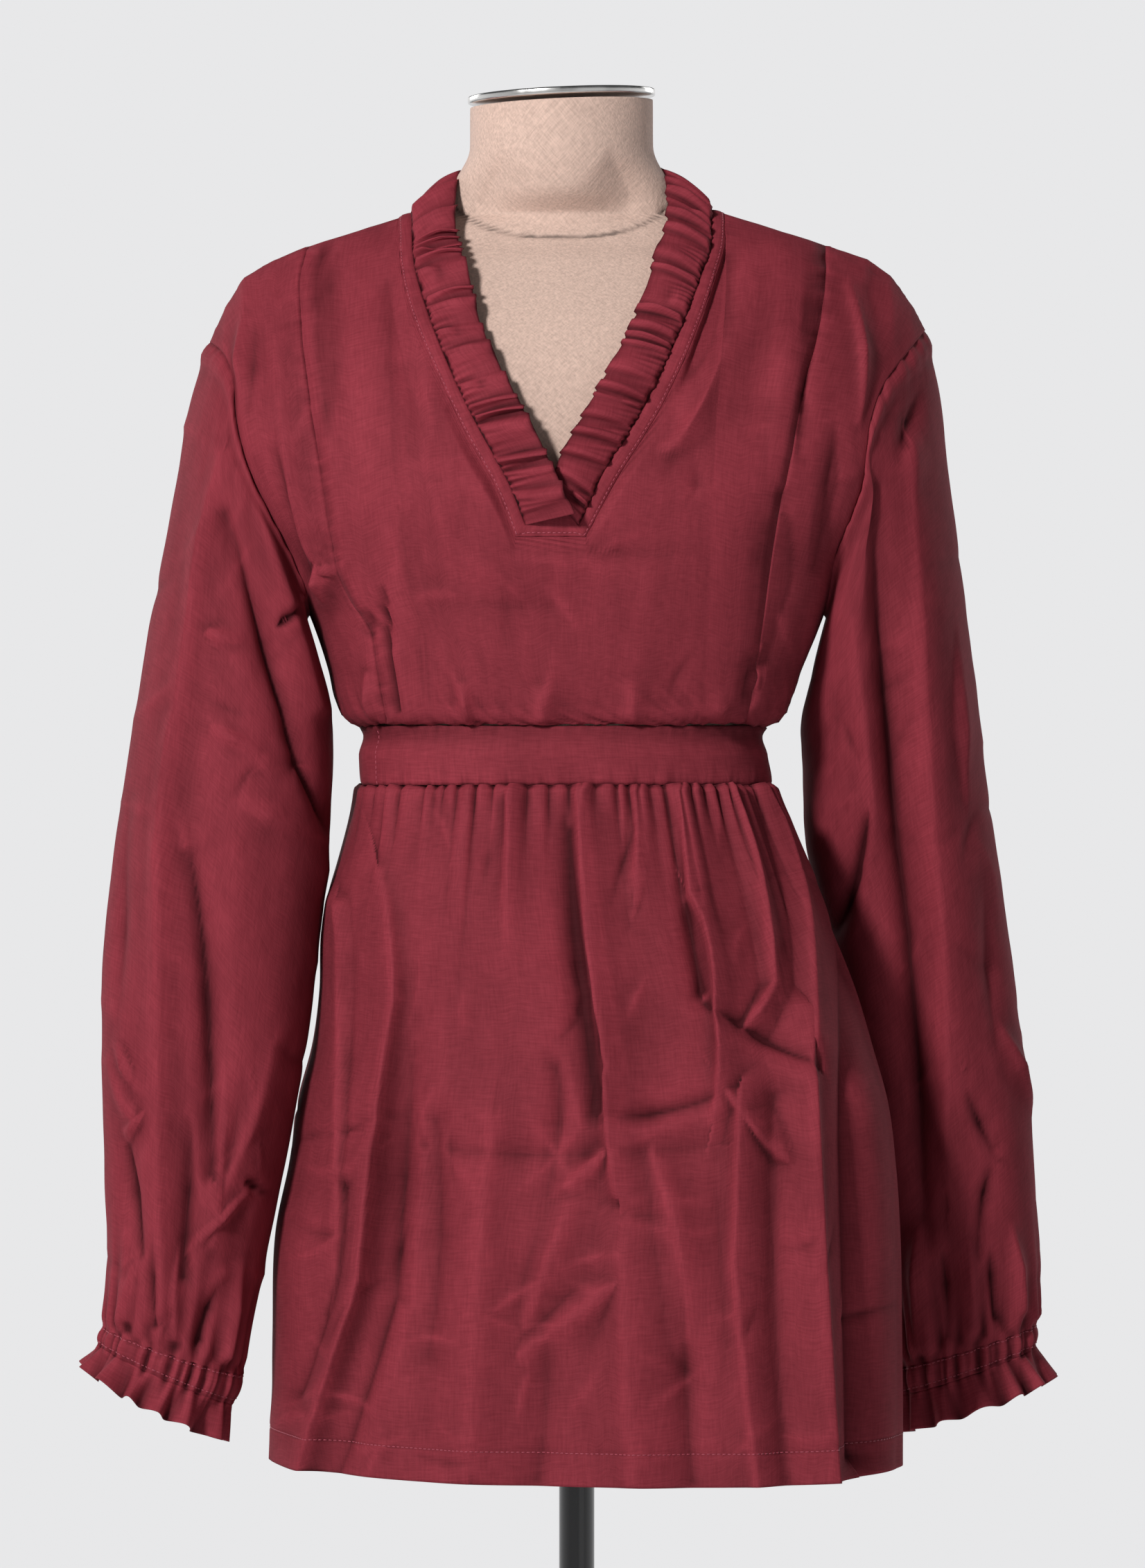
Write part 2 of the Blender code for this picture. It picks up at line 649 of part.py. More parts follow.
def waves(count, seed):
    """Uneven places round a ring, two to a wave, and their heights from -1 to 1."""
    rng = random.Random(seed)
    steps = [rng.uniform(0.7, 1.3) for _ in range(2 * count)]
    places = np.cumsum(steps) / sum(steps) * 2
    heights = [rng.uniform(0.65, 1.0) * (1 if i % 2 else -1) for i in range(2 * count)]
    return places, np.array(heights)


def make_cuff(side):
    """The gathered casing and the frill below it."""
    rows = CUFFS[side]
    back = CUFF_BACK[side]
    parts = (
        ("cuff_casing_", (0, 1, 2), CASING_GATHERS, CASING_HEIGHTS, BAND_CLOTH),
        ("cuff_frill_", (2, 3, 4), CUFF_WAVES, CUFF_FRILL_HEIGHTS, FRILL_CLOTH),
    )
    for number, (name, levels, count, heights, thickness) in enumerate(parts):
        around, wave = waves(count, 7 + number + (side == "right") * 20)
        rings = [ring(rows, RING, level, None, back, around) for level in levels]
        grid = np.stack(rings)
        outward = outward_normals(grid)
        for i, height in enumerate(heights):
            grid[i] += outward[i] * (wave * height * MM)[:, None]
        edge = grid[1] - grid[0]
        grid[0] += edge / np.linalg.norm(edge, axis=1, keepdims=True) * 2 * SEAM_GAP
        edge = grid[-2] - grid[-1]
        grid[-1] += edge / np.linalg.norm(edge, axis=1, keepdims=True) * 2 * SEAM_GAP
        normal = outward
        if side == "right":
            grid, normal = grid[:, ::-1], normal[:, ::-1]
        wall(name + side, grid[::-1], normal[::-1], thickness, WINE, wrap=True)


# ------------------------------------------------------- waistband and skirt
def make_waistband():
    """The waistband's front and back."""
    levels = np.array((WAIST_BOTTOM, (WAIST_BOTTOM + WAIST_TOP) / 2, WAIST_TOP))
    angle = np.linspace(0, math.pi, 25)
    side = np.sign(np.cos(angle)) * np.abs(np.cos(angle)) ** (2 / BODY_POWER)
    deep = np.abs(np.sin(angle)) ** (2 / BODY_POWER)
    for name, face in (("front", -1), ("back", 1)):
        rings = []
        for z in levels:
            half = read(BODY, "half_width", z)
            depth = read(BODY, name, z)
            x = read(BODY, "centre", z) - half * side
            rings.append(np.column_stack((x, face * depth * deep, np.full(len(x), z))))
        grid = np.stack(rings)
        normal = -face * normals(grid)
        normal[:, (0, -1)] = in_seam_plane(normal[:, (0, -1)])
        grid = pull_in(grid, "left right top bottom")
        if face > 0:
            grid, normal = grid[:, ::-1], normal[:, ::-1]
        wall("waistband_" + name, grid, normal, BAND_CLOTH, WINE)


def section_angle(x, z):
    """The angle round the skirt at which its front shows a given x."""
    left, right = read(SKIRT, "left", z), read(SKIRT, "right", z)
    across = np.clip((x - (left + right) / 2) / ((right - left) / 2), -1, 1)
    return math.acos(-math.copysign(abs(across) ** (BODY_POWER / 2), across))


def front_gathers():
    """Ridge and valley columns: angles at top, middle and hem, height and fade."""
    levels = (WAIST_BOTTOM, SKIRT_FOLD_Z, HEM_Z)
    ridges = []
    for i in range(len(FRONT_FOLDS["top"])):
        row = {name: column[i] for name, column in FRONT_FOLDS.items()}
        places = [section_angle(row[name], z)
                  for name, z in zip(("top", "middle", "bottom"), levels)]
        ridges.append((places, row["height"], row["fades"]))
    return with_valleys(ridges)


def back_gathers():
    """The back's gathers, spread unevenly, every fourth one down to the hem."""
    rng = random.Random(11)
    ridges = []
    for i in range(BACK_GATHERS):
        place = math.pi * (i + 1 + rng.uniform(-0.2, 0.2)) / (BACK_GATHERS + 1)
        lean = 0.12 * math.cos(place)
        long_fold = i % 4 == 1
        height = (rng.uniform(7, 9) if long_fold else rng.uniform(3, 4.5)) * MM
        fades = 600 * MM if long_fold else rng.uniform(950, 1045) * MM
        ridges.append(([place, place + lean, place + 1.3 * lean], height, fades))
    return with_valleys(ridges)


def with_valleys(ridges):
    """Ridges with a valley between each two, and plain columns at the sides."""
    columns = [([0, 0, 0], 0, 0), (SIDE_MARGIN, 0, 0)]
    for before, after in zip(ridges[:-1], ridges[1:]):
        columns.append(before)
        places = [(a + b) / 2 for a, b in zip(before[0], after[0])]
        height = -0.6 * min(before[1], after[1])
        columns.append((places, height, max(before[2], after[2])))
    columns.append(ridges[-1])
    columns += [([math.pi - place for place in SIDE_MARGIN], 0, 0), ([math.pi] * 3, 0, 0)]
    return columns


def make_skirt():
    """The gathered front and back of the skirt part."""
    for name, face, gathers in (("front", -1, front_gathers()), ("back", 1, back_gathers())):
        down = np.linspace(0, 1, SKIRT_ROWS) ** 1.25
        rings = []
        heights = []
        for share in down:
            z = WAIST_BOTTOM + share * (HEM_Z - WAIST_BOTTOM)
            fold = gather_row(gathers, share, z)
            rings.append(skirt_ring(fold[0], z, face, name, share))
            heights.append(fold[1])
        grid = np.stack(rings)[::-1]
        heights = np.stack(heights)[::-1]
        outward = -face * normals(grid) * np.array((1.0, 1.0, 0.0))
        grid += outward * heights[..., None]
        normal = -face * normals(grid)
        normal[:, (0, -1)] = in_seam_plane(normal[:, (0, -1)])
        grid = pull_in(grid, "left right")
        grid[-1, :, 2] -= 2 * SEAM_GAP
        if face > 0:
            grid, normal = grid[:, ::-1], normal[:, ::-1]
        wall("skirt_" + name, grid, normal, CLOTH, WINE)


def gather_row(gathers, share, z):
    """The angles and heights of all gathers at one level."""
    angles, heights = [], []
    for places, height, fades in gathers:
        angles.append(np.interp(share, (0, 0.5, 1), places))
        grow = 0.35 + 0.65 * ease(share / 0.12)
        swell = 1 + 0.35 * share
        left = ease((z - fades) / FADE_LENGTH) if fades > TO_THE_HEM else 1.0
        heights.append(height * grow * left * swell)
    return np.array(angles), np.array(heights)


def skirt_ring(angles, z, face, name, share):
    """The skirt's plain section at one level."""
    left, right = read(SKIRT, "left", z), read(SKIRT, "right", z)
    across = -np.sign(np.cos(angles)) * np.abs(np.cos(angles)) ** (2 / BODY_POWER)
    x = (left + right) / 2 + across * (right - left) / 2
    side = SKIRT_SIDE_Y["left"] * (1 - across) / 2 + SKIRT_SIDE_Y["right"] * (1 + across) / 2
    y = side * ease(share * 2) + face * read(SKIRT, name, z) * np.sin(angles) ** (2 / BODY_POWER)
    hem = HEM_RISE * share * np.abs(across) ** 3
    return np.column_stack((x, y, z + hem))


# -------------------------------------------------------- neckband and frill
def make_neck_band():
    """The flat band round the neckline, closed by its box at the foot of the V."""
    outer, seam = neck_line("band_x", "band_z"), neck_line("seam_x", "seam_z")
    across = seam - outer
    outer += across / np.linalg.norm(across, axis=1, keepdims=True) * SEAM_GAP
    normal = neck_normals()
    grid, facing = np.stack((seam, outer)), np.stack((normal, normal))
    wall("neck_band", grid, facing, BAND_CLOTH, WINE, wrap=True)


def make_neck_ruffle():
    """The frill inside the neckline, in knife-like gathers."""
    seam = neck_line("seam_x", "seam_z")[:-1]
    edge = np.column_stack([NECKLINE[name] for name in ("edge_x", "edge_y", "edge_z")])
    rng = random.Random(5)
    base, free, offsets = [], [], []
    turn = 1
    for row, count in enumerate(RUFFLE_PLEATS):
        for i in range(2 * count):
            share = (i + rng.uniform(-0.12, 0.12)) / (2 * count) if i else 0
            base.append(seam[row] * (1 - share) + seam[row + 1] * share)
            free.append(edge[row] * (1 - share) + edge[row + 1] * share)
            offsets.append(turn * rng.uniform(0.7, 1.0))
            turn = -turn
    base.append(seam[-1])
    free.append(edge[-1])
    offsets.append(turn * 0.5)
    base, free, offsets = np.array(base), np.array(free), np.array(offsets)
    inward = free - base
    length = np.linalg.norm(inward, axis=1, keepdims=True)
    start = base + inward / length * 2 * SEAM_GAP
    grid = np.stack([start, base + inward * 0.5, free])
    normal = normals(grid)
    if normal[1, 4, 1] > 0:
        normal = -normal
    swing = np.array(RUFFLE_SWING)[:, None] * MM * offsets[None, :]
    grid = grid + normal * (swing + RUFFLE_LIFT)[..., None]
    wall("neck_ruffle", grid[:, ::-1], normal[:, ::-1], FRILL_CLOTH, WINE)


# ----------------------------------------------------------- form and stand
def superellipse(centre_x, half, front, back, z, count=28, power=2.2):
    """A level ring, wider or narrower at the front than behind."""
    angle = np.arange(count) / count * 2 * math.pi
    cos, sin = np.cos(angle), np.sin(angle)
    x = centre_x + half * np.sign(cos) * np.abs(cos) ** (2 / power)
    depth = np.where(sin < 0, front, back)
    y = depth * np.sign(sin) * np.abs(sin) ** (2 / power)
    return np.column_stack((x, y, np.full(count, z)))


def form_ring(z, count=28):
    """The form's level section, inside the bodice."""
    if z < UNDERARM_Z:
        half = read(BODY, "half_width", z) - FORM_INSET
        left, right = read(BODY, "centre", z) - half, read(BODY, "centre", z) + half
    else:
        left, right = read(FORM_WIDTH, "left", z), read(FORM_WIDTH, "right", z)
    angle = np.arange(count) / count * 2 * math.pi
    across = np.sign(np.cos(angle)) * np.abs(np.cos(angle)) ** (2 / BODY_POWER)
    x = (left + right) / 2 + across * (right - left) / 2
    end = np.sqrt(np.clip(1 - np.abs(across) ** 7, 0, 1))
    inset = FORM_INSET + NECK_CLEARANCE * ease((z - 1393 * MM) / (15 * MM))
    front = body_y(x, z, -1, inset, FORM_DROP)
    back = body_y(x, z, 1, inset, FORM_DROP)
    y = np.where(np.sin(angle) < 0, front, back) * end
    return np.column_stack((x, y, np.full(count, z)))


def make_form():
    """The limbless form, its neck and the neck's cap."""
    rings = [form_ring(level * MM) for level in FORM_LEVELS]
    rings[0] = rings[0] * np.array((FORM_FOOT, FORM_FOOT, 1.0))
    loft("form_torso", rings, LINEN)
    neck = zip(*(NECK_FORM[name] for name in ("half", "front", "back", "z")))
    loft("form_neck", [superellipse(NECK_CENTRE, *sizes, 24, 2.0) for sizes in neck], LINEN)
    bpy.ops.mesh.primitive_cylinder_add(
        vertices=32, radius=CAP_RADIUS, depth=CAP_HEIGHT, location=(NECK_CENTRE, 0, CAP_Z))
    cap = bpy.context.object
    cap.name = cap.data.name = "neck_cap"
    cap.scale = (1.0, CAP_DEPTH_SHARE, 1.0)
    bpy.ops.object.transform_apply(location=False, rotation=False, scale=True)
    round_edges(cap)
    finish(cap, STEEL)


def round_edges(obj):
    """A small rounding on an object's sharp edges."""
    rounding = obj.modifiers.new("rounded edge", "BEVEL")
    rounding.width, rounding.segments, rounding.limit_method = EDGE_ROUNDING, 2, "ANGLE"


def make_stand():
    """The pole under the form and the round base it stands on."""
    top = FORM_BOTTOM - STAND_GAP
    bottom = BASE_HEIGHT + STAND_GAP
    bpy.ops.mesh.primitive_cylinder_add(
        vertices=24, radius=POLE_RADIUS, depth=top - bottom, location=(0, 0, (top + bottom) / 2))
    pole = bpy.context.object
    pole.name = pole.data.name = "stand_pole"
    finish(pole, BLACK)
    bpy.ops.mesh.primitive_cylinder_add(
        vertices=64, radius=BASE_RADIUS, depth=BASE_HEIGHT, location=(0, 0, BASE_HEIGHT / 2))
    base = bpy.context.object
    base.name = base.data.name = "stand_base"
    round_edges(base)
    finish(base, BLACK)


def main():
    """Build the whole blouse and its dress form."""
    for old in list(bpy.data.objects):
        bpy.data.objects.remove(old)
    collection = bpy.data.collections.new("blouse_on_dress_form")
    bpy.context.scene.collection.children.link(collection)
    make_form()
    make_stand()
    holes = make_bodice()
    for side in ("left", "right"):
        make_sleeve(side, holes[side])
        make_cuff(side)
    make_waistband()
    make_skirt()
    make_neck_band()
    make_neck_ruffle()


main()
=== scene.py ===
"""Looks for a long-sleeved V-neck blouse with a gathered skirt part, on a dress form.

Laid out as an add-on: every group of pieces has its own operator.  Lengths are in
metres; the tables below give millimetres, one row for each section or crease.
"""
import math
import random

import bpy
import mathutils
import numpy as np
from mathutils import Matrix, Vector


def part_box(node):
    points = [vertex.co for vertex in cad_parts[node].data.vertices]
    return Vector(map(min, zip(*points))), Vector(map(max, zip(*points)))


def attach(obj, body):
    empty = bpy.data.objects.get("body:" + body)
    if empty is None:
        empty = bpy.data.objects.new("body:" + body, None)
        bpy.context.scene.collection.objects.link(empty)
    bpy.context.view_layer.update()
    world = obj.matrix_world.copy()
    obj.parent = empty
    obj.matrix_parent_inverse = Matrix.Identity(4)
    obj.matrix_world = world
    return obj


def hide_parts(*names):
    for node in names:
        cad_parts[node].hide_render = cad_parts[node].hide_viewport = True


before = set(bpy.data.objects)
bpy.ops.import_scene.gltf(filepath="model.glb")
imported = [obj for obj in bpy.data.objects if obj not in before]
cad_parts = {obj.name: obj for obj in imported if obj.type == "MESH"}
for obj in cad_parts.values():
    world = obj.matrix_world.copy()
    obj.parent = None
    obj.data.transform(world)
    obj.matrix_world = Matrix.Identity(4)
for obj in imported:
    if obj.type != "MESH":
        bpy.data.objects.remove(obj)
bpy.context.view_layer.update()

bl_info = {
    "name": "Frilled blouse on a dress form",
    "version": (1, 0, 0),
    "blender": (4, 5, 0),
    "location": "View3D > Sidebar > Blouse",
    "description": "Dresses a packed blouse and dress form with cloth, stitching and linen",
    "category": "Object",
}

MM = 0.001
BODY_POWER = 2.5                # 2 is an ellipse, more is squarer
ROUND_OVER = 110 * MM           # height over which the chest rounds on to the shoulder
WAIST_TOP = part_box("waistband_front")[1][2]
WAIST_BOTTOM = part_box("waistband_front")[0][2]
HEM_Z = 684 * MM
HEM_RISE = 5 * MM               # the hem is this much higher at the sides
UNDERARM_Z = 1192 * MM


def table(names, *rows):
    """Rows of millimetres as named columns in metres."""
    columns = zip(*rows)
    return {name: np.array(column) * MM for name, column in zip(names.split(), columns)}


# ------------------------------------------------------------------ the cut
BODY = table(
    "z centre half_width front back",
    (860, 0, 124, 93, 90),
    (1000, -3, 122, 92, 86),
    (1060, -6, 117, 90, 80),
    (1087, -6, 121, 92, 80),
    (1104, -8, 119.5, 91, 79),
    (1121, -8.3, 120.6, 92, 80),
    (1126, -8, 129, 96, 83),
    (1135, -8, 134, 99, 86),
    (1155, -7, 140, 103, 89),
    (1174, -6, 147, 106, 92),
    (1192, -6, 154, 109, 94),
    (1223, -8, 168, 112, 97),
    (1245, -8, 185, 112, 99),
    (1281, -8, 206, 107, 101),
    (1310, -8, 214, 99, 101),
    (1350, -8, 222, 86, 96),
    (1400, -8, 223, 64, 84),
    (1445, -8, 223, 48, 70),
)
SHOULDER = table(
    "x z",
    (-226, 1322), (-217, 1349), (-208, 1369), (-197, 1387), (-180, 1397),
    (-157, 1406), (-103, 1423), (-60, 1435), (-8, 1441), (45, 1436), (87, 1425),
    (147, 1406), (172, 1398), (186, 1388), (198, 1371), (206, 1356), (214, 1334),
)
ARMHOLE = table(
    "step left_x left_z right_x right_z",
    (0, -160, 1192, 148, 1192),
    (100, -162, 1207, 150, 1207),
    (200, -168, 1222, 153, 1223),
    (350, -179, 1245, 161, 1245),
    (500, -192, 1273, 168, 1268),
    (650, -199, 1302, 171, 1298),
    (780, -201, 1325, 180, 1322),
    (900, -208, 1341, 195, 1342),
    (1000, -217, 1349, 206, 1356),
)
PRINCESS = table(
    "step left_x left_z right_x right_z",
    (0, -110.5, 1121.2, 99, 1121.2),
    (115, -115, 1145, 105, 1145),
    (231, -120, 1172, 109.5, 1172),
    (400, -138, 1205, 114, 1208),
    (520, -145, 1240, 119, 1245),
    (650, -150, 1275, 125, 1281),
    (780, -156, 1315, 133, 1320),
    (900, -161.5, 1362, 143, 1362),
    (960, -162, 1388, 146.5, 1388),
    (1000, -158, 1405.7, 147, 1406),
)
# From the foot of the V up the left side, round the back and down the right side.
NECKLINE = table(
    "face band_x band_z seam_x seam_z edge_x edge_y edge_z",
    (-1000, -35.5, 1230, -29.5, 1237, -1, -126, 1243),
    (-1000, -47, 1259, -39.8, 1262.8, -12, -125, 1268),
    (-1000, -63.5, 1288.5, -55.9, 1292, -27, -118, 1298),
    (-1000, -77.5, 1318, -69.3, 1319, -42, -104, 1328),
    (-1000, -89.5, 1344, -81, 1347, -54, -89, 1353),
    (-1000, -98.5, 1368, -89.5, 1371, -61, -72, 1379),
    (-1000, -103.5, 1392, -95, 1392, -67.5, -54, 1399),
    (-1000, -104.6, 1409, -96.6, 1409, -71, -31, 1421),
    (1000, -105.2, 1422.4, -96.8, 1424.8, -69, 0, 1449),
    (1000, -92, 1419.5, -84, 1424, -64, 24, 1451),
    (1000, -72, 1415, -67, 1421, -55, 42, 1452),
    (1000, -40, 1409, -38, 1416, -31, 52, 1453),
    (1000, -8, 1406.5, -8, 1414, -8, 57, 1453),
    (1000, 24, 1409, 22, 1416, 14, 52, 1453),
    (1000, 56, 1415, 52, 1421, 37, 42, 1452),
    (1000, 76, 1420, 68, 1424, 46, 24, 1451),
    (1000, 87.3, 1424.9, 78.5, 1427, 51, 0, 1449),
    (-1000, 86.5, 1406, 79, 1407, 53, -32, 1421),
    (-1000, 80.5, 1384, 73, 1385.5, 45, -53, 1399),
    (-1000, 73, 1361, 65, 1363.5, 38, -72, 1373),
    (-1000, 62.5, 1334, 54, 1337, 26, -91, 1345),
    (-1000, 49, 1306, 41, 1310, 13, -105, 1318),
    (-1000, 38.5, 1288, 31, 1292, 2, -112, 1299),
    (-1000, 23.5, 1264, 16.3, 1269, -10, -117, 1277),
    (-1000, 5, 1230, 1, 1237, -17, -118, 1256),
)
NECK_LEFT, NECK_RIGHT = 8, 16   # rows of the shoulder seams in NECKLINE
SLEEVES = {
    "left": table(
        "step outer_x outer_z inner_x inner_z depth back",
        (0, -217, 1349, -160.5, 1192, 50, 0),
        (60, -229, 1316, -158.5, 1177, 56, 0),
        (140, -238.5, 1262, -152.5, 1154, 60, -2),
        (220, -247.5, 1212, -145.5, 1131, 61, -4),
        (320, -257, 1148, -143.5, 1101, 61, -8),
        (420, -266, 1087, -145.5, 1058, 61, -10),
        (550, -277, 1010, -151.5, 1003, 60, -12),
        (680, -280, 935, -161, 930, 57, -14),
        (800, -279, 865, -174, 858, 53, -15),
        (910, -278, 806, -187, 792, 48, -16),
        (1000, -279, 768, -197, 740, 40, -16),
    ),
    "right": table(
        "step outer_x outer_z inner_x inner_z depth back",
        (0, 206, 1356, 148.5, 1192, 50, 0),
        (60, 214, 1319, 146.5, 1177, 56, 4),
        (140, 219.5, 1268, 140, 1154, 60, 12),
        (220, 227, 1218, 134.5, 1130, 61, 22),
        (320, 235.5, 1156, 134.5, 1097, 61, 34),
        (420, 244.5, 1090, 137, 1055, 61, 44),
        (550, 257, 1010, 148, 1001, 60, 56),
        (680, 266.5, 933, 161, 930, 57, 61),
        (800, 273, 866, 171, 860, 53, 62),
        (910, 277, 803, 181, 795, 48, 60),
        (1000, 275, 764, 190, 738, 40, 58),
    ),
}
CUFFS = {
    "left": table(
        "step outer_x outer_z inner_x inner_z depth",
        (0, -279, 768, -197, 740, 40),
        (250, -280.5, 762.5, -200, 731, 39),
        (500, -282, 757.5, -203, 722.5, 39.5),
        (750, -286.5, 750, -206, 712, 42),
        (1000, -291, 743.5, -209, 701.5, 46),
    ),
    "right": table(
        "step outer_x outer_z inner_x inner_z depth",
        (0, 275, 764, 190, 738, 40),
        (250, 275, 757.5, 191, 729.5, 39),
        (500, 275, 750.5, 192, 721.5, 39.5),
        (750, 280, 741, 192.5, 711, 42),
        (1000, 285.5, 731.5, 193, 699.5, 46),
    ),
}
CUFF_BACK = {"left": -16 * MM, "right": 58 * MM}
SKIRT = table(
    "z left right front back",
    (684, -180, 191, 127, 120),
    (715, -180, 191, 126, 119),
    (760, -180, 190.5, 124, 117),
    (820, -178, 189.5, 121, 115),
    (860, -170, 187, 118, 112),
    (900, -164, 182, 116, 110),
    (930, -156, 174, 114, 108),
    (965, -152, 164, 111, 105),
    (1000, -151, 150.5, 108, 102),
    (1020, -147.5, 142, 105, 99),
    (1040, -141, 132.5, 102, 94),
    (1060, -135, 124.5, 98, 88),
    (1087, -127.3, 115.3, 92, 80),
)
SKIRT_SIDE_Y = {"left": 24 * MM, "right": -44 * MM}

# --------------------------------------------------------------- the creases
# Each row is one crease seen from the front (or from behind): three points, how
# far it stands out at each (below 0 it is a trough), its width on the left and
# right of its way down, and how much wider it is at its end.
LEAN = 0.75                     # how far a fold tips over towards its steeper side
CREASE = "x0 z0 x1 z1 x2 z2 h0 h1 h2 left right spread"


def creases(*rows):
    """A table of creases; spread is a plain factor and not a length."""
    made = table(CREASE, *rows)
    made["spread"] = made["spread"] / MM
    return made


SKIRT_FRONT = creases(
    # long folds from the seam, left to right
    (-139, 1016, -136, 892, -146, 759, 4, 7, 5, 8, 5, 1.3),
    (-115, 1036, -108, 1000, -105, 962, 3, 6, 9, 15, 4.5, 1),
    (-105, 962, -116, 880, -124, 799, 9, 13, 13, 15, 4.5, 1),
    (-124, 799, -141, 742, -158, 680, 13, 12, 10, 15, 4.5, 1),
    (-96, 930, -104, 860, -108, 790, -1, -7, -6, 7, 9, 1.2),
    (-108, 790, -124, 735, -140, 686, -6, -5, -3, 8, 9, 1),
    (-134, 852, -143, 791, -161, 731, -4, -6, -5, 7, 7, 1.4),
    (3, 1090, 5, 1040, 10, 992, 6, 7, 9, 3.5, 11, 1),
    (10, 992, 17, 956, 22, 924, 9, 12, 11, 3.5, 11, 1),
    (22, 924, 21, 892, 25, 852, 11, 9, 5, 3.5, 11, 1.4),
    (-4, 1060, 2, 985, 12, 900, -2, -6, -4, 9, 4, 1.4),
    (58, 1090, 62, 1060, 67, 1022, 6, 7, 9, 3.5, 10, 1),
    (67, 1022, 78, 994, 83, 956, 9, 12, 13, 3.5, 10, 1),
    (83, 956, 84, 925, 79, 895, 13, 8, 2, 3.5, 10, 1.2),
    (60, 1060, 66, 1010, 72, 970, -1, -5, -5, 6, 4, 1.3),
    (85, 1090, 95, 1062, 104, 1026, 6, 7, 9, 3, 5, 1.3),
    (104, 1026, 110, 996, 114, 964, 9, 9, 4, 4, 7, 1.3),
    (104, 1090, 115, 1064, 125, 1032, 5, 8, 7, 3, 7, 1.5),
    (125, 1032, 132, 990, 136, 940, 7, 9, 8, 5, 8, 1.3),
    # the star of crossing creases
    (70, 964, 103, 944, 135, 924, -2, -7, -3, 4, 8, 1.3),
    (83, 916, 105, 888, 127, 866, 4, 8, 3, 4, 9, 1.4),
    (114, 974, 105, 956, 91, 944, 5, 8, 3, 4, 7, 1.3),
    (79, 908, 43, 898, 11, 895, -2, -5, -2, 6, 6, 1.4),
    # the ridges down to the hem at the right
    (95, 910, 94, 856, 92, 811, 6, 8, 6, 5, 12, 1.2),
    (92, 811, 98, 747, 105, 685, 6, 6, 6, 6, 12, 1.2),
    (131, 955, 135, 850, 144, 685, 7, 9, 10, 12, 5, 1.3),
    (113, 908, 113, 811, 120, 688, -4, -6, -5, 9, 9, 1.4),
    (156, 1000, 160, 880, 168, 700, -4, -12, -14, 9, 12, 1.3),
    # broad soft folds and wrinkles low in the middle
    (19, 880, 6, 866, -9, 855, 2, 5, 1, 4, 5, 1.5),
    (-5, 844, -15, 811, -29, 779, 2, 6, 2, 6, 7, 1.6),
    (35, 811, 1, 783, -33, 759, 2, 5, 2, 6, 7, 1.6),
    (43, 876, 59, 828, 64, 771, 3, 7, 4, 8, 9, 1.6),
    (62, 800, 62, 750, 66, 688, -2, -6, -5, 9, 9, 1.5),
    (-49, 892, -54, 820, -61, 700, 4, 8, 6, 14, 11, 1.6),
    (-83, 892, -81, 828, -87, 759, -3, -6, -4, 10, 10, 1.5),
    (-13, 924, -11, 892, -17, 852, -3, -5, -2, 8, 8, 1.5),
    (30, 840, 30, 770, 36, 688, 3, 6, 7, 9, 14, 1.4),
    (-20, 800, -18, 745, -24, 688, -2, -5, -6, 14, 14, 1.2),
    (-40, 1085, -38, 1040, -43, 980, 4, 5, 0, 3.5, 7, 1.7),
    (34, 1085, 36, 1044, 31, 998, 4, 5, 0, 3, 8, 1.7),
    # a soft band across, where the form's lower edge lies behind the cloth
    (-112, 882, -30, 874, 76, 880, -2, -4, -2, 11, 16, 1),
)
# places of the small tucks along the skirt's seam at the waist
WAIST_TUCKS = {
    "front": (-131, -124, -117, -110, -102, -88, -82, -77, -69, -58, -48, -40, -28, -16, -5, 3,
              11, 23, 30, 36, 42, 50, 59, 65, 72, 79, 85, 90, 96, 101, 107, 113, 121),
    "back": (-131, -122, -115, -104, -98, -88, -74, -69, -60, -47, -40, -34, -22, -8, -2, 6,
             18, 26, 33, 48, 55, 61, 74, 80, 88, 95, 100, 108, 115, 121),
}
SKIRT_BACK = creases(
    (-118, 1087, -134, 980, -150, 690, 3, 8, 7, 8, 10, 1.7),
    (-98, 1087, -104, 1040, -108, 1000, 3, 4, 0, 4, 4, 1.4),
    (-88, 1087, -100, 960, -112, 700, 3, 6, 7, 6, 14, 1.8),
    (-74, 1087, -78, 1050, -81, 1030, 3, 3, 0, 3, 4, 1.3),
    (-60, 1087, -66, 1020, -70, 960, 3, 5, 0, 4, 6, 1.5),
    (-47, 1087, -50, 1055, -52, 1040, 3, 3, 0, 3, 3, 1.2),
    (-34, 1087, -40, 980, -52, 700, 3, 8, 8, 5, 16, 1.9),
    (-22, 1087, -23, 1050, -24, 1020, 3, 3, 0, 3, 4, 1.3),
    (-8, 1087, -8, 1040, -8, 990, 3, 5, 0, 5, 5, 1.5),
    (6, 1087, 8, 1060, 9, 1045, 3, 2.5, 0, 3, 3, 1.2),
    (18, 1087, 24, 960, 34, 700, 3, 8, 8, 14, 6, 1.9),
    (33, 1087, 35, 1050, 37, 1025, 3, 3, 0, 3, 4, 1.3),
    (48, 1087, 56, 1000, 62, 930, 3, 5, 0, 5, 6, 1.5),
    (61, 1087, 64, 1055, 66, 1040, 3, 3, 0, 3, 3, 1.2),
    (74, 1087, 92, 960, 110, 700, 3, 8, 9, 12, 7, 1.8),
    (88, 1087, 94, 1040, 98, 1010, 3, 3.5, 0, 4, 4, 1.3),
    (100, 1087, 124, 960, 150, 700, 3, 8, 8, 10, 8, 1.6),
    (-30, 920, 10, 914, 50, 918, -1.5, -2.5, -1, 10, 12, 1),
    (60, 860, 84, 880, 100, 905, 0, 3, 1, 4, 5, 1),
    (-96, 890, -76, 872, -64, 850, 0, 3, 1, 4, 5, 1),
)
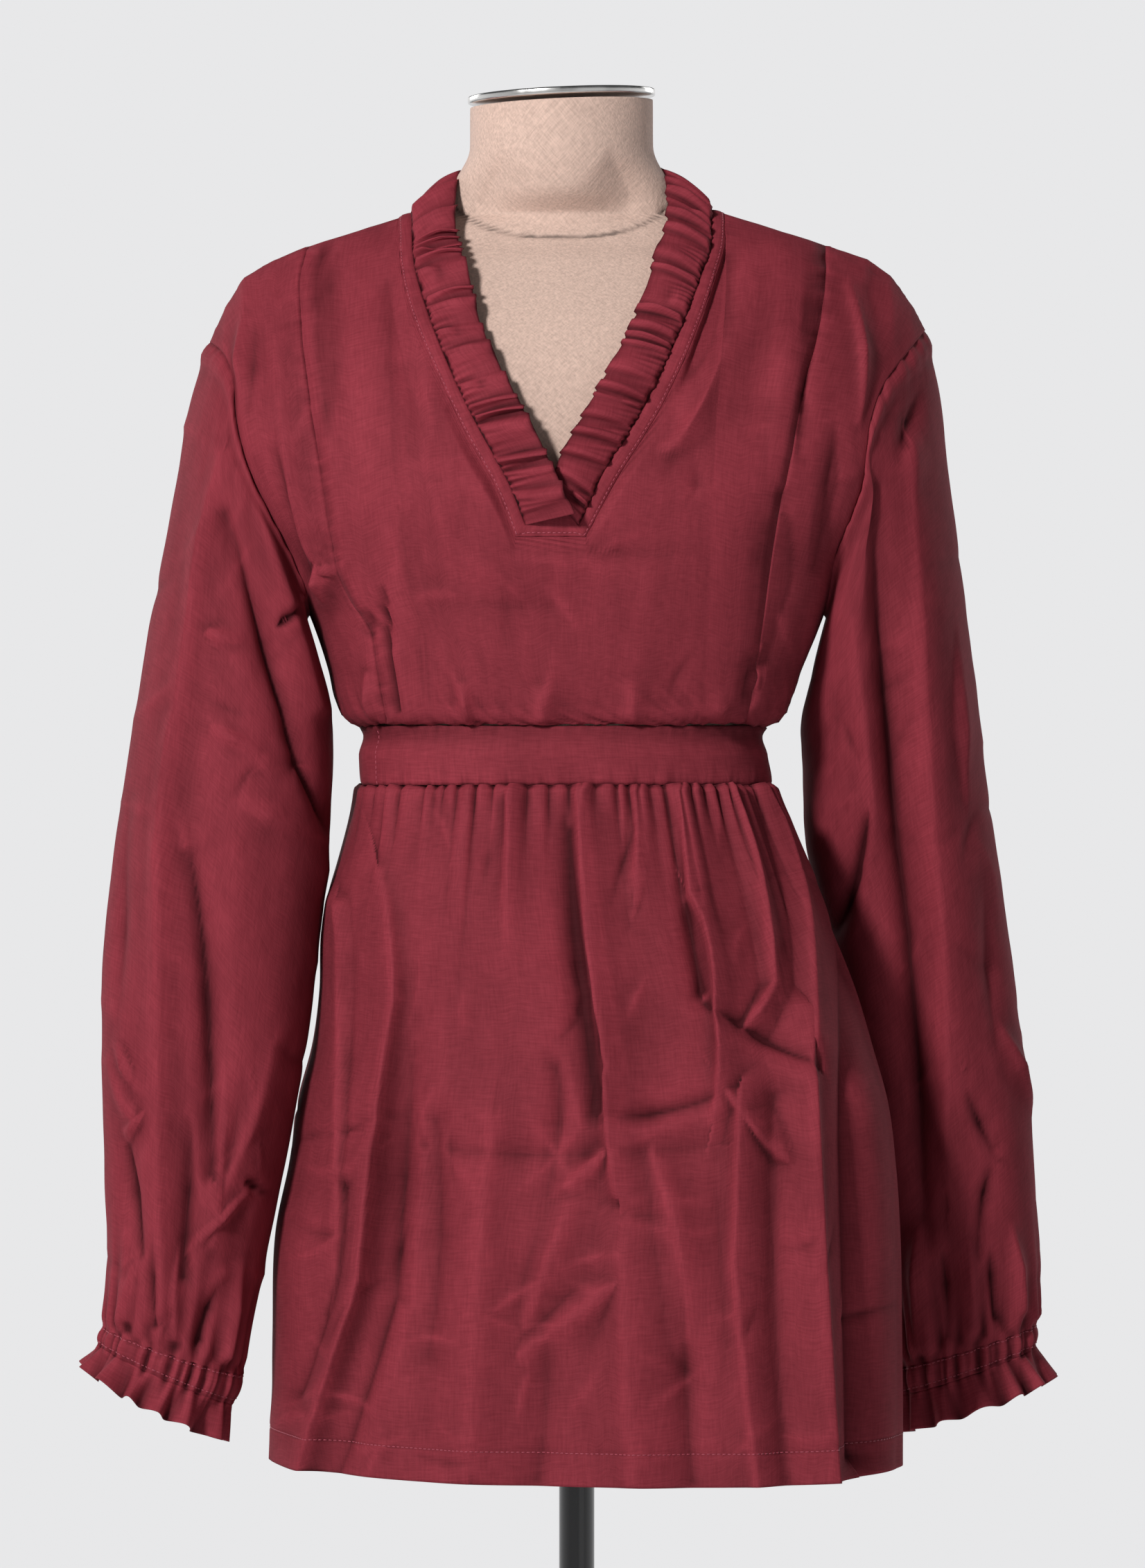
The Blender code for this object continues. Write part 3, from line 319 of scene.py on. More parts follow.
BODICE_FRONT = creases(
    (-57, 1218, 0, 1221, 51, 1220, -0.4, -1.1, -0.4, 7, 14, 1),
    # up from the waist
    (-114, 1204, -108, 1168, -103, 1130, 0, -5, -4, 4, 5, 1),
    (-106, 1210, -104, 1168, -100, 1125, 1, 5, 4, 3, 6, 1),
    (-124, 1196, -120, 1180, -116, 1170, 0, -2, 0, 4, 4, 1),
    (-123, 1154, -121, 1138, -119, 1124, 0, 3, 2, 3, 3, 1),
    (-106, 1150, -103, 1135, -101, 1123, 0, 2.5, 2, 2.5, 3, 1),
    (-66, 1148, -64, 1134, -62, 1122, 0, 2.5, 2, 4, 4, 1),
    (80, 1142, 82, 1132, 84, 1122, 0, 2.5, 2, 3, 4, 1),
    (30, 1150, 32, 1135, 33, 1122, 0, 1.5, 1.5, 6, 8, 1),
    (-20, 1146, -20, 1134, -20, 1122, 0, 1.5, 1.5, 8, 8, 1),
    (104, 1180, 101, 1150, 98, 1123, 0, -2.5, -2, 4, 4, 1),
    (118, 1262, 120, 1215, 112, 1160, -1, -4.5, -2, 12, 9, 1),
    # bust and shoulders
    (-196, 1366, -198, 1330, -199, 1290, 0, 3.5, 1, 2.5, 6, 1.4),
    (-188, 1360, -190, 1330, -192, 1296, 0, -1.8, 0, 6, 6, 1.2),
    (-174, 1346, -164, 1254, -151, 1216, 1, 4, 2, 6, 6, 1),
    (-151, 1402, -149, 1360, -146, 1296, -2, -5, -1, 5, 8, 1.1),
    (-152, 1222, -150, 1206, -149, 1196, 1, 5, 2, 4, 4, 1),
    (-160, 1218, -148, 1212, -138, 1214, 0, 4, 0, 3.5, 3.5, 1),
    (100, 1385, 66, 1296, 40, 1288, 1, 3.5, 0, 5, 7, 1.2),
    (86, 1398, 76, 1350, 62, 1320, -2, -4, -1, 8, 7, 1),
    (122, 1400, 122, 1322, 112, 1262, 2, 4, 1, 5, 7, 1.2),
    (134, 1396, 133, 1330, 128, 1280, -1, -3, -1, 5, 5, 1),
    (-60, 1224, -10, 1218, 50, 1222, 0, 1.2, 0, 14, 10, 1),
    (-104, 1212, -40, 1190, 30, 1196, 0, -2, 0, 22, 26, 1),
    (-96, 1258, -10, 1262, 82, 1258, 1, 2.6, 1, 30, 30, 1),
    (-110, 1380, -100, 1330, -84, 1280, -1, -2.5, 0, 10, 8, 1),
    (160, 1380, 166, 1340, 165, 1300, 1, 3.5, 1, 4, 5, 1),
    (150, 1300, 150, 1262, 140, 1214, 0, -3, -1, 6, 6, 1),
    (-176, 1290, -168, 1250, -158, 1214, 0, -3, -1, 5, 5, 1),
)
BODICE_BACK = creases(
    (-110, 1200, -106, 1160, -102, 1124, 0, 3, 3, 5, 6, 1),
    (-84, 1180, -82, 1150, -80, 1123, 0, -2.5, -2, 6, 6, 1),
    (-50, 1196, -50, 1160, -50, 1123, 0, 3.5, 3, 7, 7, 1),
    (-14, 1170, -14, 1145, -14, 1123, 0, -2, -2, 8, 8, 1),
    (24, 1190, 24, 1155, 25, 1123, 0, 3.5, 3, 7, 7, 1),
    (62, 1172, 62, 1148, 62, 1123, 0, -2.5, -2, 6, 6, 1),
    (92, 1200, 90, 1160, 86, 1124, 0, 3, 3, 5, 6, 1),
    (-170, 1370, -150, 1310, -140, 1250, 2, 5, 0, 7, 8, 1),
    (150, 1372, 136, 1310, 124, 1250, 2, 5, 0, 8, 7, 1),
    (-120, 1398, -60, 1384, -8, 1384, 0, -3, -3, 8, 10, 1),
    (104, 1398, 50, 1384, -8, 1384, 0, -3, -3, 10, 8, 1),
    (-60, 1330, -8, 1318, 44, 1330, 0, -3, 0, 16, 20, 1),
    (-128, 1228, -104, 1246, -80, 1252, 0, 3, 0, 5, 6, 1),
    (116, 1228, 92, 1246, 66, 1252, 0, 3, 0, 5, 6, 1),
)
SLEEVE_LEFT_FRONT = creases(
    (-274, 924, -260, 895, -245, 895, 1, 3, 1, 4, 7, 1.2),
    (-202, 1080, -180, 1068, -161, 1059, 0, 3, 1, 4, 8, 1.2),
    (-178, 936, -194, 879, -223, 813, 1, 3.5, 1, 5, 8, 1.2),
    (-206, 1278, -218, 1220, -230, 1130, 2, 5, 4, 8, 5, 1.2),
    (-230, 1130, -240, 1030, -242, 780, 4, 6, 4, 9, 6, 1.2),
    (-206, 1245, -180, 1170, -160, 1100, -2, -7, -5, 6, 6, 1.2),
    (-160, 1100, -148, 1072, -146, 1055, -5, -4, 0, 5, 4, 1),
    (-192, 1268, -170, 1194, -152, 1132, 2, 4, 3, 6, 6, 1.2),
    (-226, 1045, -215, 960, -211, 860, -2, -6, -4, 5, 8, 1.4),
    (-161, 1197, -170, 1184, -178, 1174, 2, -4, 0, 3, 3, 1),
    (-222, 1180, -208, 1174, -194, 1171, 0, 3.5, 0, 3.5, 3, 1),
    (-215, 1122, -200, 1114, -184, 1106, 0, 3.5, 0, 3.5, 3, 1),
    (-268, 934, -262, 922, -257, 910, 1, 4, 0, 3.5, 3, 1),
    (-245, 902, -256, 889, -264, 878, 1, 4.5, 1, 4, 3, 1),
    (-264, 878, -260, 848, -254, 813, -2, -6, -2, 5, 4, 1),
    (-196, 858, -190, 853, -183, 848, 0, -3, -1, 3, 3, 1),
    (-191, 852, -208, 834, -227, 814, 1, 4.5, 1, 4, 4, 1),
    (-191, 930, -188, 890, -186, 862, 0, 2.5, 1, 2, 2.5, 1),
    (-262, 1080, -268, 1000, -266, 940, -1, -3, 0, 6, 6, 1),
    (-205, 930, -206, 880, -212, 820, 0, 4, 2, 6, 6, 1),
    (-225, 900, -226, 850, -230, 800, 0, -4, -3, 6, 5, 1),
    (-206, 800, -214, 780, -219, 762, 1, -4, -3, 4, 4, 1),
    (-258, 812, -262, 792, -264, 775, 0, 3.5, 3, 4, 4, 1),
    (-246, 830, -247, 800, -246, 772, 0, -3.5, -3, 4, 4, 1),
    (-232, 820, -234, 795, -234, 765, 1, 3.5, 3, 4, 4, 1),
    (-196, 812, -200, 780, -206, 752, 0, 3, 3, 4, 4, 1),
)
SLEEVE_RIGHT_FRONT = creases(
    (176, 1260, 184, 1112, 194, 999, -3, -9, -9, 9, 9, 1.2),
    (194, 999, 199, 911, 204, 828, -9, -8, -3, 10, 11, 1.1),
    (194, 1280, 204, 1112, 215, 999, 2, 5, 6, 5, 16, 1.2),
    (215, 999, 218, 940, 220, 850, 6, 5, 2, 6, 14, 1.2),
    (172, 1070, 162, 1030, 153, 1000, -3, -6, -2, 5, 5, 1.2),
    (162, 1180, 172, 1110, 176, 1060, 1, 5, 2, 8, 7, 1),
    (228, 908, 240, 886, 250, 866, 0, -3, -1, 4, 6, 1),
    (233, 935, 228, 920, 222, 906, 0, 3.5, 0, 3, 4, 1),
    (250, 948, 262, 920, 271, 892, 0, 4.5, 1, 4, 4, 1),
    (250, 868, 243, 845, 238, 808, 1, -3, -1, 4, 6, 1),
    (222, 1200, 226, 1120, 232, 1040, 0, 4, 0, 8, 8, 1),
    (240, 1040, 246, 980, 250, 920, 0, -3, 0, 7, 7, 1),
    (258, 830, 262, 800, 264, 775, 0, 4, 3, 4, 4, 1),
    (246, 815, 248, 795, 250, 770, 0, -3.5, -3, 4, 4, 1),
    (232, 820, 234, 795, 236, 765, 0, 3.5, 3, 4, 4, 1),
    (216, 815, 218, 790, 220, 758, 0, -4, -3, 4, 4, 1),
    (202, 830, 202, 795, 204, 750, 0, 4, 3, 5, 5, 1),
    (206, 1330, 196, 1300, 186, 1270, 1, -3.5, 0, 5, 5, 1),
)
SLEEVE_LEFT_BACK = creases(
    (-210, 1300, -220, 1220, -232, 1110, 0, 6, 4, 9, 7, 1.2),
    (-190, 1260, -176, 1180, -166, 1100, -2, -7, -3, 8, 7, 1.2),
    (-232, 1110, -238, 980, -240, 800, 4, 6, 3, 9, 7, 1.2),
    (-200, 1080, -206, 960, -214, 830, -3, -6, -3, 8, 8, 1.2),
    (-168, 1040, -176, 960, -190, 860, 0, 5, 0, 7, 7, 1.2),
    (-250, 920, -240, 900, -226, 886, 0, 4, 0, 4, 4, 1),
    (-196, 870, -210, 846, -226, 826, 0, 4, 0, 4, 4, 1),
    (-222, 1170, -206, 1160, -188, 1158, 0, 4, 0, 4, 4, 1),
    (-255, 815, -260, 790, -262, 772, 0, 3.5, 3, 4, 4, 1),
    (-238, 820, -240, 795, -240, 768, 0, -3.5, -3, 4, 4, 1),
    (-216, 815, -220, 785, -222, 758, 0, 3.5, 3, 4, 4, 1),
)
SLEEVE_RIGHT_BACK = creases(
    (196, 1300, 206, 1220, 222, 1110, 0, 6, 4, 9, 7, 1.2),
    (176, 1260, 166, 1180, 160, 1100, -2, -7, -3, 8, 7, 1.2),
    (222, 1110, 234, 980, 240, 800, 4, 6, 3, 9, 7, 1.2),
    (186, 1080, 196, 960, 208, 830, -3, -6, -3, 8, 8, 1.2),
    (160, 1040, 172, 960, 188, 860, 0, 5, 0, 7, 7, 1.2),
    (250, 920, 240, 900, 222, 886, 0, 4, 0, 4, 4, 1),
    (196, 870, 210, 846, 226, 826, 0, 4, 0, 4, 4, 1),
    (255, 815, 260, 790, 262, 772, 0, 3.5, 3, 4, 4, 1),
    (236, 820, 238, 795, 238, 768, 0, -3.5, -3, 4, 4, 1),
    (214, 815, 216, 785, 218, 758, 0, 3.5, 3, 4, 4, 1),
)


# -------------------------------------------------------------- reading tables
def read(rows, name, at, key="z", level_turns=False):
    """One column of a table at the given places, as a smooth curve."""
    knots, values = rows[key], rows[name]
    at = np.clip(np.asarray(at, float), knots[0], knots[-1])
    slopes = np.gradient(values, knots)
    if level_turns:
        steps = np.diff(values)
        slopes[1:-1] = np.where(steps[:-1] * steps[1:] <= 0, 0, slopes[1:-1])
    i = np.clip(np.searchsorted(knots, at, side="right") - 1, 0, len(knots) - 2)
    span = knots[i + 1] - knots[i]
    t = (at - knots[i]) / span
    start = (1 + 2 * t) * (1 - t) ** 2 * values[i] + t * (1 - t) ** 2 * span * slopes[i]
    end = t * t * (3 - 2 * t) * values[i + 1] + t * t * (t - 1) * span * slopes[i + 1]
    return start + end


def ease(t):
    """0 to 1 with level ends."""
    t = np.clip(t, 0, 1)
    return t * t * (3 - 2 * t)


def bell(away, width):
    """1 on a line, fading to 0 at both sides of it."""
    return np.exp(-(away / width) ** 2)


def lengths(points):
    """How far along a line each of its points lies."""
    return np.append(0, np.cumsum(np.linalg.norm(np.diff(points, axis=0), axis=1)))


def squarish(angle):
    """Sideways and depth shares of a round, slightly square section."""
    power = 2 / BODY_POWER
    side = np.sign(np.cos(angle)) * np.abs(np.cos(angle)) ** power
    return side, np.abs(np.sin(angle)) ** power


def normals(grid, wrap=False):
    """Unit normals of a grid of points."""
    if wrap:
        across = np.roll(grid, -1, axis=1) - np.roll(grid, 1, axis=1)
    else:
        across = np.gradient(grid, axis=1)
    normal = np.cross(across, np.gradient(grid, axis=0))
    return normal / np.maximum(np.linalg.norm(normal, axis=-1, keepdims=True), 1e-12)


def turned(normal, grid, out):
    """The normals turned so that most of them point away from a place."""
    return normal if np.sum(normal * (grid - out)) > 0 else -normal


def noise(u, v, seed, octaves=3):
    """Smooth uneven waves between about -1 and 1 at places in metres."""
    rng = random.Random(seed)
    u, v = np.broadcast_arrays(np.asarray(u, float), np.asarray(v, float))
    total, weight = np.zeros(u.shape), 0.0
    for octave in range(octaves):
        scale = 2.0 ** octave
        for _ in range(4):
            angle = rng.uniform(0, math.pi)
            pitch = rng.uniform(0.7, 1.4) * scale
            phase = rng.uniform(0, 2 * math.pi)
            total += np.sin((u * math.cos(angle) + v * math.sin(angle)) * pitch + phase) / scale
        weight += 2.0 / scale
    return total / weight


def crease_heights(rows, x, z, lean=False):
    """How far the creases of a table lift the cloth at places seen from the front.

    With lean it also gives how far each place moves sideways, because a fold
    tips over towards its steeper side.
    """
    ridges, troughs, sideways = np.zeros_like(x), np.zeros_like(x), np.zeros_like(x)
    for i in range(len(rows["x0"])):
        row = {name: column[i] for name, column in rows.items()}
        start = np.array((row["x0"], row["z0"]))
        middle = np.array((row["x1"], row["z1"]))
        end = np.array((row["x2"], row["z2"]))
        t = np.linspace(0, 1, 25)[:, None]
        bend = 2 * middle - (start + end) / 2
        line = (1 - t) ** 2 * start + 2 * t * (1 - t) * bend + t * t * end
        reach = 4.5 * max(row["left"], row["right"]) * max(row["spread"], 1)
        near = ((x > line[:, 0].min() - reach) & (x < line[:, 0].max() + reach)
                & (z > line[:, 1].min() - reach) & (z < line[:, 1].max() + reach))
        if not near.any():
            continue
        px, pz = x[near], z[near]
        best = np.full(px.shape, np.inf)
        place, side = np.zeros(px.shape), np.zeros(px.shape)
        for k in range(len(line) - 1):
            step = line[k + 1] - line[k]
            ax, az = px - line[k, 0], pz - line[k, 1]
            along = np.clip((ax * step[0] + az * step[1]) / (step @ step), 0, 1)
            dx, dz = ax - along * step[0], az - along * step[1]
            away = np.hypot(dx, dz)
            closer = away < best
            best = np.where(closer, away, best)
            place = np.where(closer, (k + along) / (len(line) - 1), place)
            side = np.where(closer, np.sign(step[0] * dz - step[1] * dx), side)
        # going down, the viewer's left is the right-hand side of the way
        width = np.where(side < 0, row["left"], row["right"])
        width = width * (1 + (row["spread"] - 1) * place)
        height = np.interp(place, (0, 0.5, 1), (row["h0"], row["h1"], row["h2"]))
        shape = np.exp(-np.abs(best / width) ** 1.3)
        lift = height * shape
        tip = LEAN * (row["right"] - row["left"]) / (row["right"] + row["left"])
        going = (end - start) / np.hypot(*(end - start))
        higher = lift > ridges[near]
        sideways[near] = np.where(higher, lift * tip * going[1], sideways[near])
        ridges[near] = np.where(higher, lift, ridges[near])
        troughs[near] = np.minimum(troughs[near], lift)
    return (ridges + troughs, sideways) if lean else ridges + troughs


def small_creases(seed, count, box, lean, length, height, width):
    """A table of short random creases: lean is their usual angle from upright, in degrees."""
    rng = random.Random(seed)
    rows = []
    for _ in range(count):
        x, z = rng.uniform(box[0], box[2]), rng.uniform(box[1], box[3])
        angle = math.radians(rng.choice(lean) + rng.uniform(-18, 18))
        half = rng.uniform(0.5, 1.0) * length / 2
        bow = rng.uniform(-0.15, 0.15) * length
        dx, dz = math.sin(angle) * half, math.cos(angle) * half
        top = rng.uniform(0.5, 1.0) * height * rng.choice((1, 1, -1))
        wide = rng.uniform(0.7, 1.3) * width
        rows.append((x + dx, z + dz, x + bow * math.cos(angle), z - bow * math.sin(angle),
                     x - dx, z - dz, 0, top, 0, wide, wide * rng.uniform(1.0, 1.8), 1))
    return creases(*rows)


def hollows(grid, outward, wrap=False):
    """How hollow (above zero) or ridged (below zero) the cloth is at each place."""
    total = np.zeros(grid.shape[:2])
    for reach in (1, 3, 6):
        around, far = np.zeros_like(grid), np.zeros(grid.shape[:2])
        for step in (-reach, reach):
            columns = np.arange(grid.shape[1]) + step
            if wrap:
                columns = columns % grid.shape[1]
            else:
                columns = np.clip(columns, 0, grid.shape[1] - 1)
            rows = np.clip(np.arange(grid.shape[0]) + step, 0, grid.shape[0] - 1)
            for other in (grid[:, columns], grid[rows]):
                around += other / 4
                far += np.linalg.norm(other - grid, axis=-1) / 4
        lift = np.sum((around - grid) * outward, axis=-1)
        total += lift / np.maximum(far, 0.1 * MM)
    return total / 3


def piece_mesh(name, points, faces, uv=None, fold=None):
    """An object from points and faces, with its own coordinates for the weave."""
    mesh = bpy.data.meshes.new(name)
    mesh.from_pydata(points.tolist(), [], faces)
    if uv is not None:
        layer = mesh.uv_layers.new(name="weave")
        corners = np.empty(len(mesh.loops), np.int32)
        mesh.loops.foreach_get("vertex_index", corners)
        layer.data.foreach_set("uv", uv[corners].astype(np.float32).ravel())
    # the fold attribute holds how hollow the cloth is; the materials paint shade into the hollows from it
    if fold is not None:
        mesh.attributes.new("fold", "FLOAT", "POINT")
        mesh.attributes["fold"].data.foreach_set("value", fold.astype(np.float32))
    mesh.validate()
    mesh.shade_smooth()
    made = bpy.data.objects.new(name, mesh)
    bpy.context.collection.objects.link(made)
    return made


def grid_uv(grid):
    """Lengths along the cloth in metres: across its middle row and up each column."""
    across = np.linalg.norm(np.diff(grid, axis=1), axis=-1).mean(axis=0)
    up = np.linalg.norm(np.diff(grid, axis=0), axis=-1)
    u = np.append(0, np.cumsum(across))
    v = np.vstack((np.zeros(grid.shape[1]), np.cumsum(up, axis=0)))
    return np.stack((np.broadcast_to(u, v.shape), v), axis=-1)


def quads(rows, columns, wrap=False):
    """Numbers of a grid's points, and the faces between them."""
    index = np.arange(rows * columns).reshape(rows, columns)
    if wrap:
        index = np.hstack((index, index[:, :1]))
    return index, np.column_stack((index[:-1, :-1].ravel(), index[:-1, 1:].ravel(),
                                   index[1:, 1:].ravel(), index[1:, :-1].ravel()))


def looks_outward(grid, outward):
    """Whether the faces of a grid look outward in the order that quads gives."""
    row, column = outward.shape[0] // 2, outward.shape[1] // 2
    here = grid[row, column]
    normal = np.cross(grid[row, column + 1] - here, grid[row + 1, column] - here)
    return normal @ outward[row, column] >= 0


def sheet_mesh(name, grid, outward, thickness, wrap=False):
    """A closed thin shell whose outer face is the grid."""
    points = np.concatenate((grid.reshape(-1, 3), (grid - outward * thickness).reshape(-1, 3)))
    uv = np.tile(grid_uv(grid).reshape(-1, 2), (2, 1))
    count = grid.shape[0] * grid.shape[1]
    index, outer = quads(*grid.shape[:2], wrap)
    kept = looks_outward(grid, outward)
    if not kept:
        outer = outer[:, ::-1]
    faces = [outer, outer[:, ::-1] + count]
    borders = [(index[0, :-1], index[0, 1:]), (index[-1, 1:], index[-1, :-1])]
    if not wrap:
        borders += [(index[1:, 0], index[:-1, 0]), (index[:-1, -1], index[1:, -1])]
    for first, second in borders:
        rim = np.column_stack((second, first, first + count, second + count))
        faces.append(rim if kept else rim[:, ::-1])
    fold = np.tile(hollows(grid, outward, wrap).ravel(), 2)
    return piece_mesh(name, points, np.concatenate(faces).tolist(), uv, fold)


def open_mesh(name, grid, outward, thickness, wrap=False, hem=0):
    """A single layer of cloth, turned up inside at its last rows as a hem."""
    uv = grid_uv(grid)
    fold = hollows(grid, outward, wrap)
    if hem:
        inside = (grid - outward * thickness)[-hem - 1:][::-1]
        fold = np.concatenate((fold, fold[-hem - 1:][::-1]))
        uv = np.concatenate((uv, uv[-hem - 1:][::-1]))
        grid = np.concatenate((grid, inside))
    faces = quads(*grid.shape[:2], wrap)[1]
    if not looks_outward(grid, outward):
        faces = faces[:, ::-1]
    return piece_mesh(name, grid.reshape(-1, 3), faces.tolist(), uv.reshape(-1, 2), fold.ravel())


def dress(piece, material, replaces=()):
    """Give a finished piece its material and its place in the frame."""
    piece.data.materials.clear()
    piece.data.materials.append(material)
    if replaces:
        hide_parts(*replaces)
    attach(piece, "root")
    return piece


# ------------------------------------------------------------ the body's forms
def body_y(x, z, face, inset=0.0, drop=0.0):
    """How far the body's surface lies in front (face -1) or behind (face 1)."""
    x, z = np.asarray(x, float), np.asarray(z, float)
    across = np.abs(x - read(BODY, "centre", z)) / (read(BODY, "half_width", z) - inset)
    section = np.clip(1 - across ** BODY_POWER, 0, 1) ** (1 / BODY_POWER)
    deep = read(BODY, "front" if face < 0 else "back", z) - inset
    below = np.interp(x, SHOULDER["x"], SHOULDER["z"]) - drop - z
    over = np.clip(1 - below / ROUND_OVER, 0, 1)
    return face * deep * section * np.sqrt(1 - over ** 2)


def body_outward(x, z, face):
    """Outward normals of the body's surface, from its slopes."""
    step = 1 * MM
    slope_x = (body_y(x + step, z, face) - body_y(x - step, z, face)) / (2 * step)
    slope_z = (body_y(x, z + step, face) - body_y(x, z - step, face)) / (2 * step)
    normal = face * np.stack((-slope_x, np.ones_like(slope_x), -slope_z), axis=-1)
    return normal / np.linalg.norm(normal, axis=-1, keepdims=True)


ARMHOLE_START = 3 / 13          # share of the bodice's rows below the underarm
SHOULDER_ROWS = 1.5             # rows crowd towards the shoulder
SIDE_WIDTH = 0.6                # how far the side columns crowd towards the side seam
BODICE_CROWDING = 1.25          # rows of the whole bodice crowd towards its top
BODICE_ROWS = {-1: 130, 1: 104}     # rows of the front (face -1) and of the back (face 1)
SIDE_COLUMNS = 34               # columns from the side seam to the princess seam
NECK_STEPS = 6                  # columns for each row of the neckline table
BODICE_DEPTH = 2.3              # the bodice's creases stand out this much more than listed
SLEEVE_GRID = (180, 198)        # columns round a sleeve, and rings along it
SLEEVE_LENGTH = 0.62
SLEEVE_DEPTH = 1.75             # the sleeves' creases stand out this much more than listed
SLEEVE_SEED = {"left": 70, "right": 80}
CUFF_SEED = {"left": 101, "right": 111}
CUFF_COLUMNS = 390
CASING_WAVES, SMALL_WAVES = 21, 37      # large and small gathers round a casing
SKIRT_GRID = {-1: (380, 236), 1: (280, 170)}    # columns and rings, front and back
SKIRT_CROWDING = 1.12           # rings crowd towards the waist
HEM_WIDTH = 20 * MM
FRILL_LEVELS = 26               # points from the neck frill's seam to its edge
FRILL_PLEATS = 58
FORM_MIDDLE = np.array((-8 * MM, 0, 1300 * MM))     # a place inside the form


def rise_of(row):
    """Height share of the bodice's rows, which are given as a share of all rows."""
    left_over = np.clip((1 - row) / (1 - ARMHOLE_START), 0, 1)
    high = 1 - (1 - ARMHOLE_START) * left_over ** SHOULDER_ROWS
    return np.where(row > ARMHOLE_START, high, row)


def armhole_line(side, row):
    """The armhole seen from the front, at rows from underarm to shoulder."""
    step = (rise_of(row) - ARMHOLE_START) / (1 - ARMHOLE_START)
    return read(ARMHOLE, side + "_x", step, "step"), read(ARMHOLE, side + "_z", step, "step")


def side_lines(side, row):
    """Side seam with armhole, and princess seam, as seen from the front."""
    sign = -1 if side == "left" else 1
    rise = rise_of(row)
    low_z = np.interp(rise, (0, ARMHOLE_START), (WAIST_TOP, UNDERARM_Z))
    low_x = read(BODY, "centre", low_z) + sign * read(BODY, "half_width", low_z)
    hole_x, hole_z = armhole_line(side, np.maximum(row, ARMHOLE_START))
    above = row > ARMHOLE_START
    outer = np.column_stack((np.where(above, hole_x, low_x), np.where(above, hole_z, low_z)))
    seam = np.column_stack([read(PRINCESS, side + part, rise, "step") for part in ("_x", "_z")])
    return outer, seam


def neck_table(name, row):
    """One column of the neckline table at fractional rows."""
    rows = {"row": np.arange(len(NECKLINE["face"]), dtype=float), name: NECKLINE[name]}
    return read(rows, name, row, "row", level_turns=True)


def on_body(x, z, row):
    """Points of the neckline on the body's surface, in front or behind."""
    behind = (row > NECK_LEFT) & (row < NECK_RIGHT)
    y = np.where(behind, body_y(x, z, 1), body_y(x, z, -1))
    return np.column_stack((x, y, z))


def neck_tops(face, fine):
    """Neck edge of a panel from left to right, with its place in the coarse rows."""
    last = len(NECKLINE["face"]) - 1
    if face > 0:
        places = np.linspace(0, NECK_RIGHT - NECK_LEFT, fine * (NECK_RIGHT - NECK_LEFT) + 1)
        row = NECK_LEFT + places
        return neck_table("band_x", row), neck_table("band_z", row), places
    left = np.linspace(0, NECK_LEFT, fine * NECK_LEFT + 1)
    row = NECK_LEFT - left
    x, z = neck_table("band_x", row), neck_table("band_z", row)
    right = np.linspace(0, last - NECK_RIGHT, fine * (last - NECK_RIGHT) + 1)
    row = last - right
    right_x, right_z = neck_table("band_x", row), neck_table("band_z", row)
    foot = np.linspace(0, 2, 2 * fine + 1)[1:-1]
    foot_x = np.interp(foot, (0, 2), (x[-1], right_x[0]))
    foot_z = np.full(len(foot), z[-1])
    return (np.concatenate((x, foot_x, right_x)), np.concatenate((z, foot_z, right_z)),
            np.concatenate((left, NECK_LEFT + foot, NECK_LEFT + 2 + right)))


def seam_shares(seam):
    """How high each row of a seam lies as a share, and how far it bulges sideways."""
    rise = (seam[:, 1] - seam[0, 1]) / (seam[-1, 1] - seam[0, 1])
    return rise, seam[:, 0] - (seam[0, 0] * (1 - rise) + seam[-1, 0] * rise)


def bodice_grid(face, rows, side_columns, fine):
    """Front or back of the bodice as one fine grid; rows go from waist to top edge."""
    row = 1 - (1 - np.linspace(0, 1, rows)) ** BODICE_CROWDING
    row[np.abs(row - ARMHOLE_START).argmin()] = ARMHOLE_START
    (left_out, left), (right_out, right) = (side_lines(side, row) for side in ("left", "right"))
    *tops, places = neck_tops(face, fine)
    rise_left, bulge_left = seam_shares(left)
    rise_right, bulge_right = seam_shares(right)
    lead = np.linspace(0, 1, fine + 1)[:-1]
    edge = [np.concatenate((left[-1, axis] + lead * (top[0] - left[-1, axis]), top,
                            right[-1, axis] + lead[::-1] * (top[-1] - right[-1, axis])))
            for axis, top in enumerate(tops)]
    even = np.concatenate((lead, 1 + places, places[-1] + 2 - lead[::-1])) / (places[-1] + 2)
    centre = []
    for x_top, z_top, even_share in zip(*edge, even):
        share = 0.5 * even_share + 0.5 * (x_top - left[-1, 0]) / (right[-1, 0] - left[-1, 0])
        rise = rise_left * (1 - share) + rise_right * share
        x = (left[0, 0] * (1 - share) + right[0, 0] * share) * (1 - rise) + x_top * rise
        x = x + bulge_left * max(0, 1 - 2 * share) + bulge_right * max(0, 2 * share - 1)
        centre.append(np.column_stack((x, left[0, 1] * (1 - rise) + z_top * rise)))
    columns = side_grid(left_out, left, row, side_columns) + centre[1:-1]
    columns += side_grid(right_out, right, row, side_columns)[::-1]
    flat = np.stack(columns, axis=1)
    y = body_y(flat[..., 0], flat[..., 1], face)
    return np.stack((flat[..., 0], y, flat[..., 1]), axis=-1)


def side_grid(outer, seam, row, count):
    """Columns from the side seam and armhole to the princess seam."""
    columns = []
    lift = row ** 4
    for i in range(count + 1):
        even = i / count
        share = SIDE_WIDTH * (1 - math.cos(even * math.pi / 2)) + (1 - SIDE_WIDTH) * even
        column = outer * (1 - share) + seam * share
        line = np.interp(column[-1, 0], SHOULDER["x"], SHOULDER["z"])
        column[:, 1] += lift * (line - column[-1, 1])
        columns.append(column)
    return columns


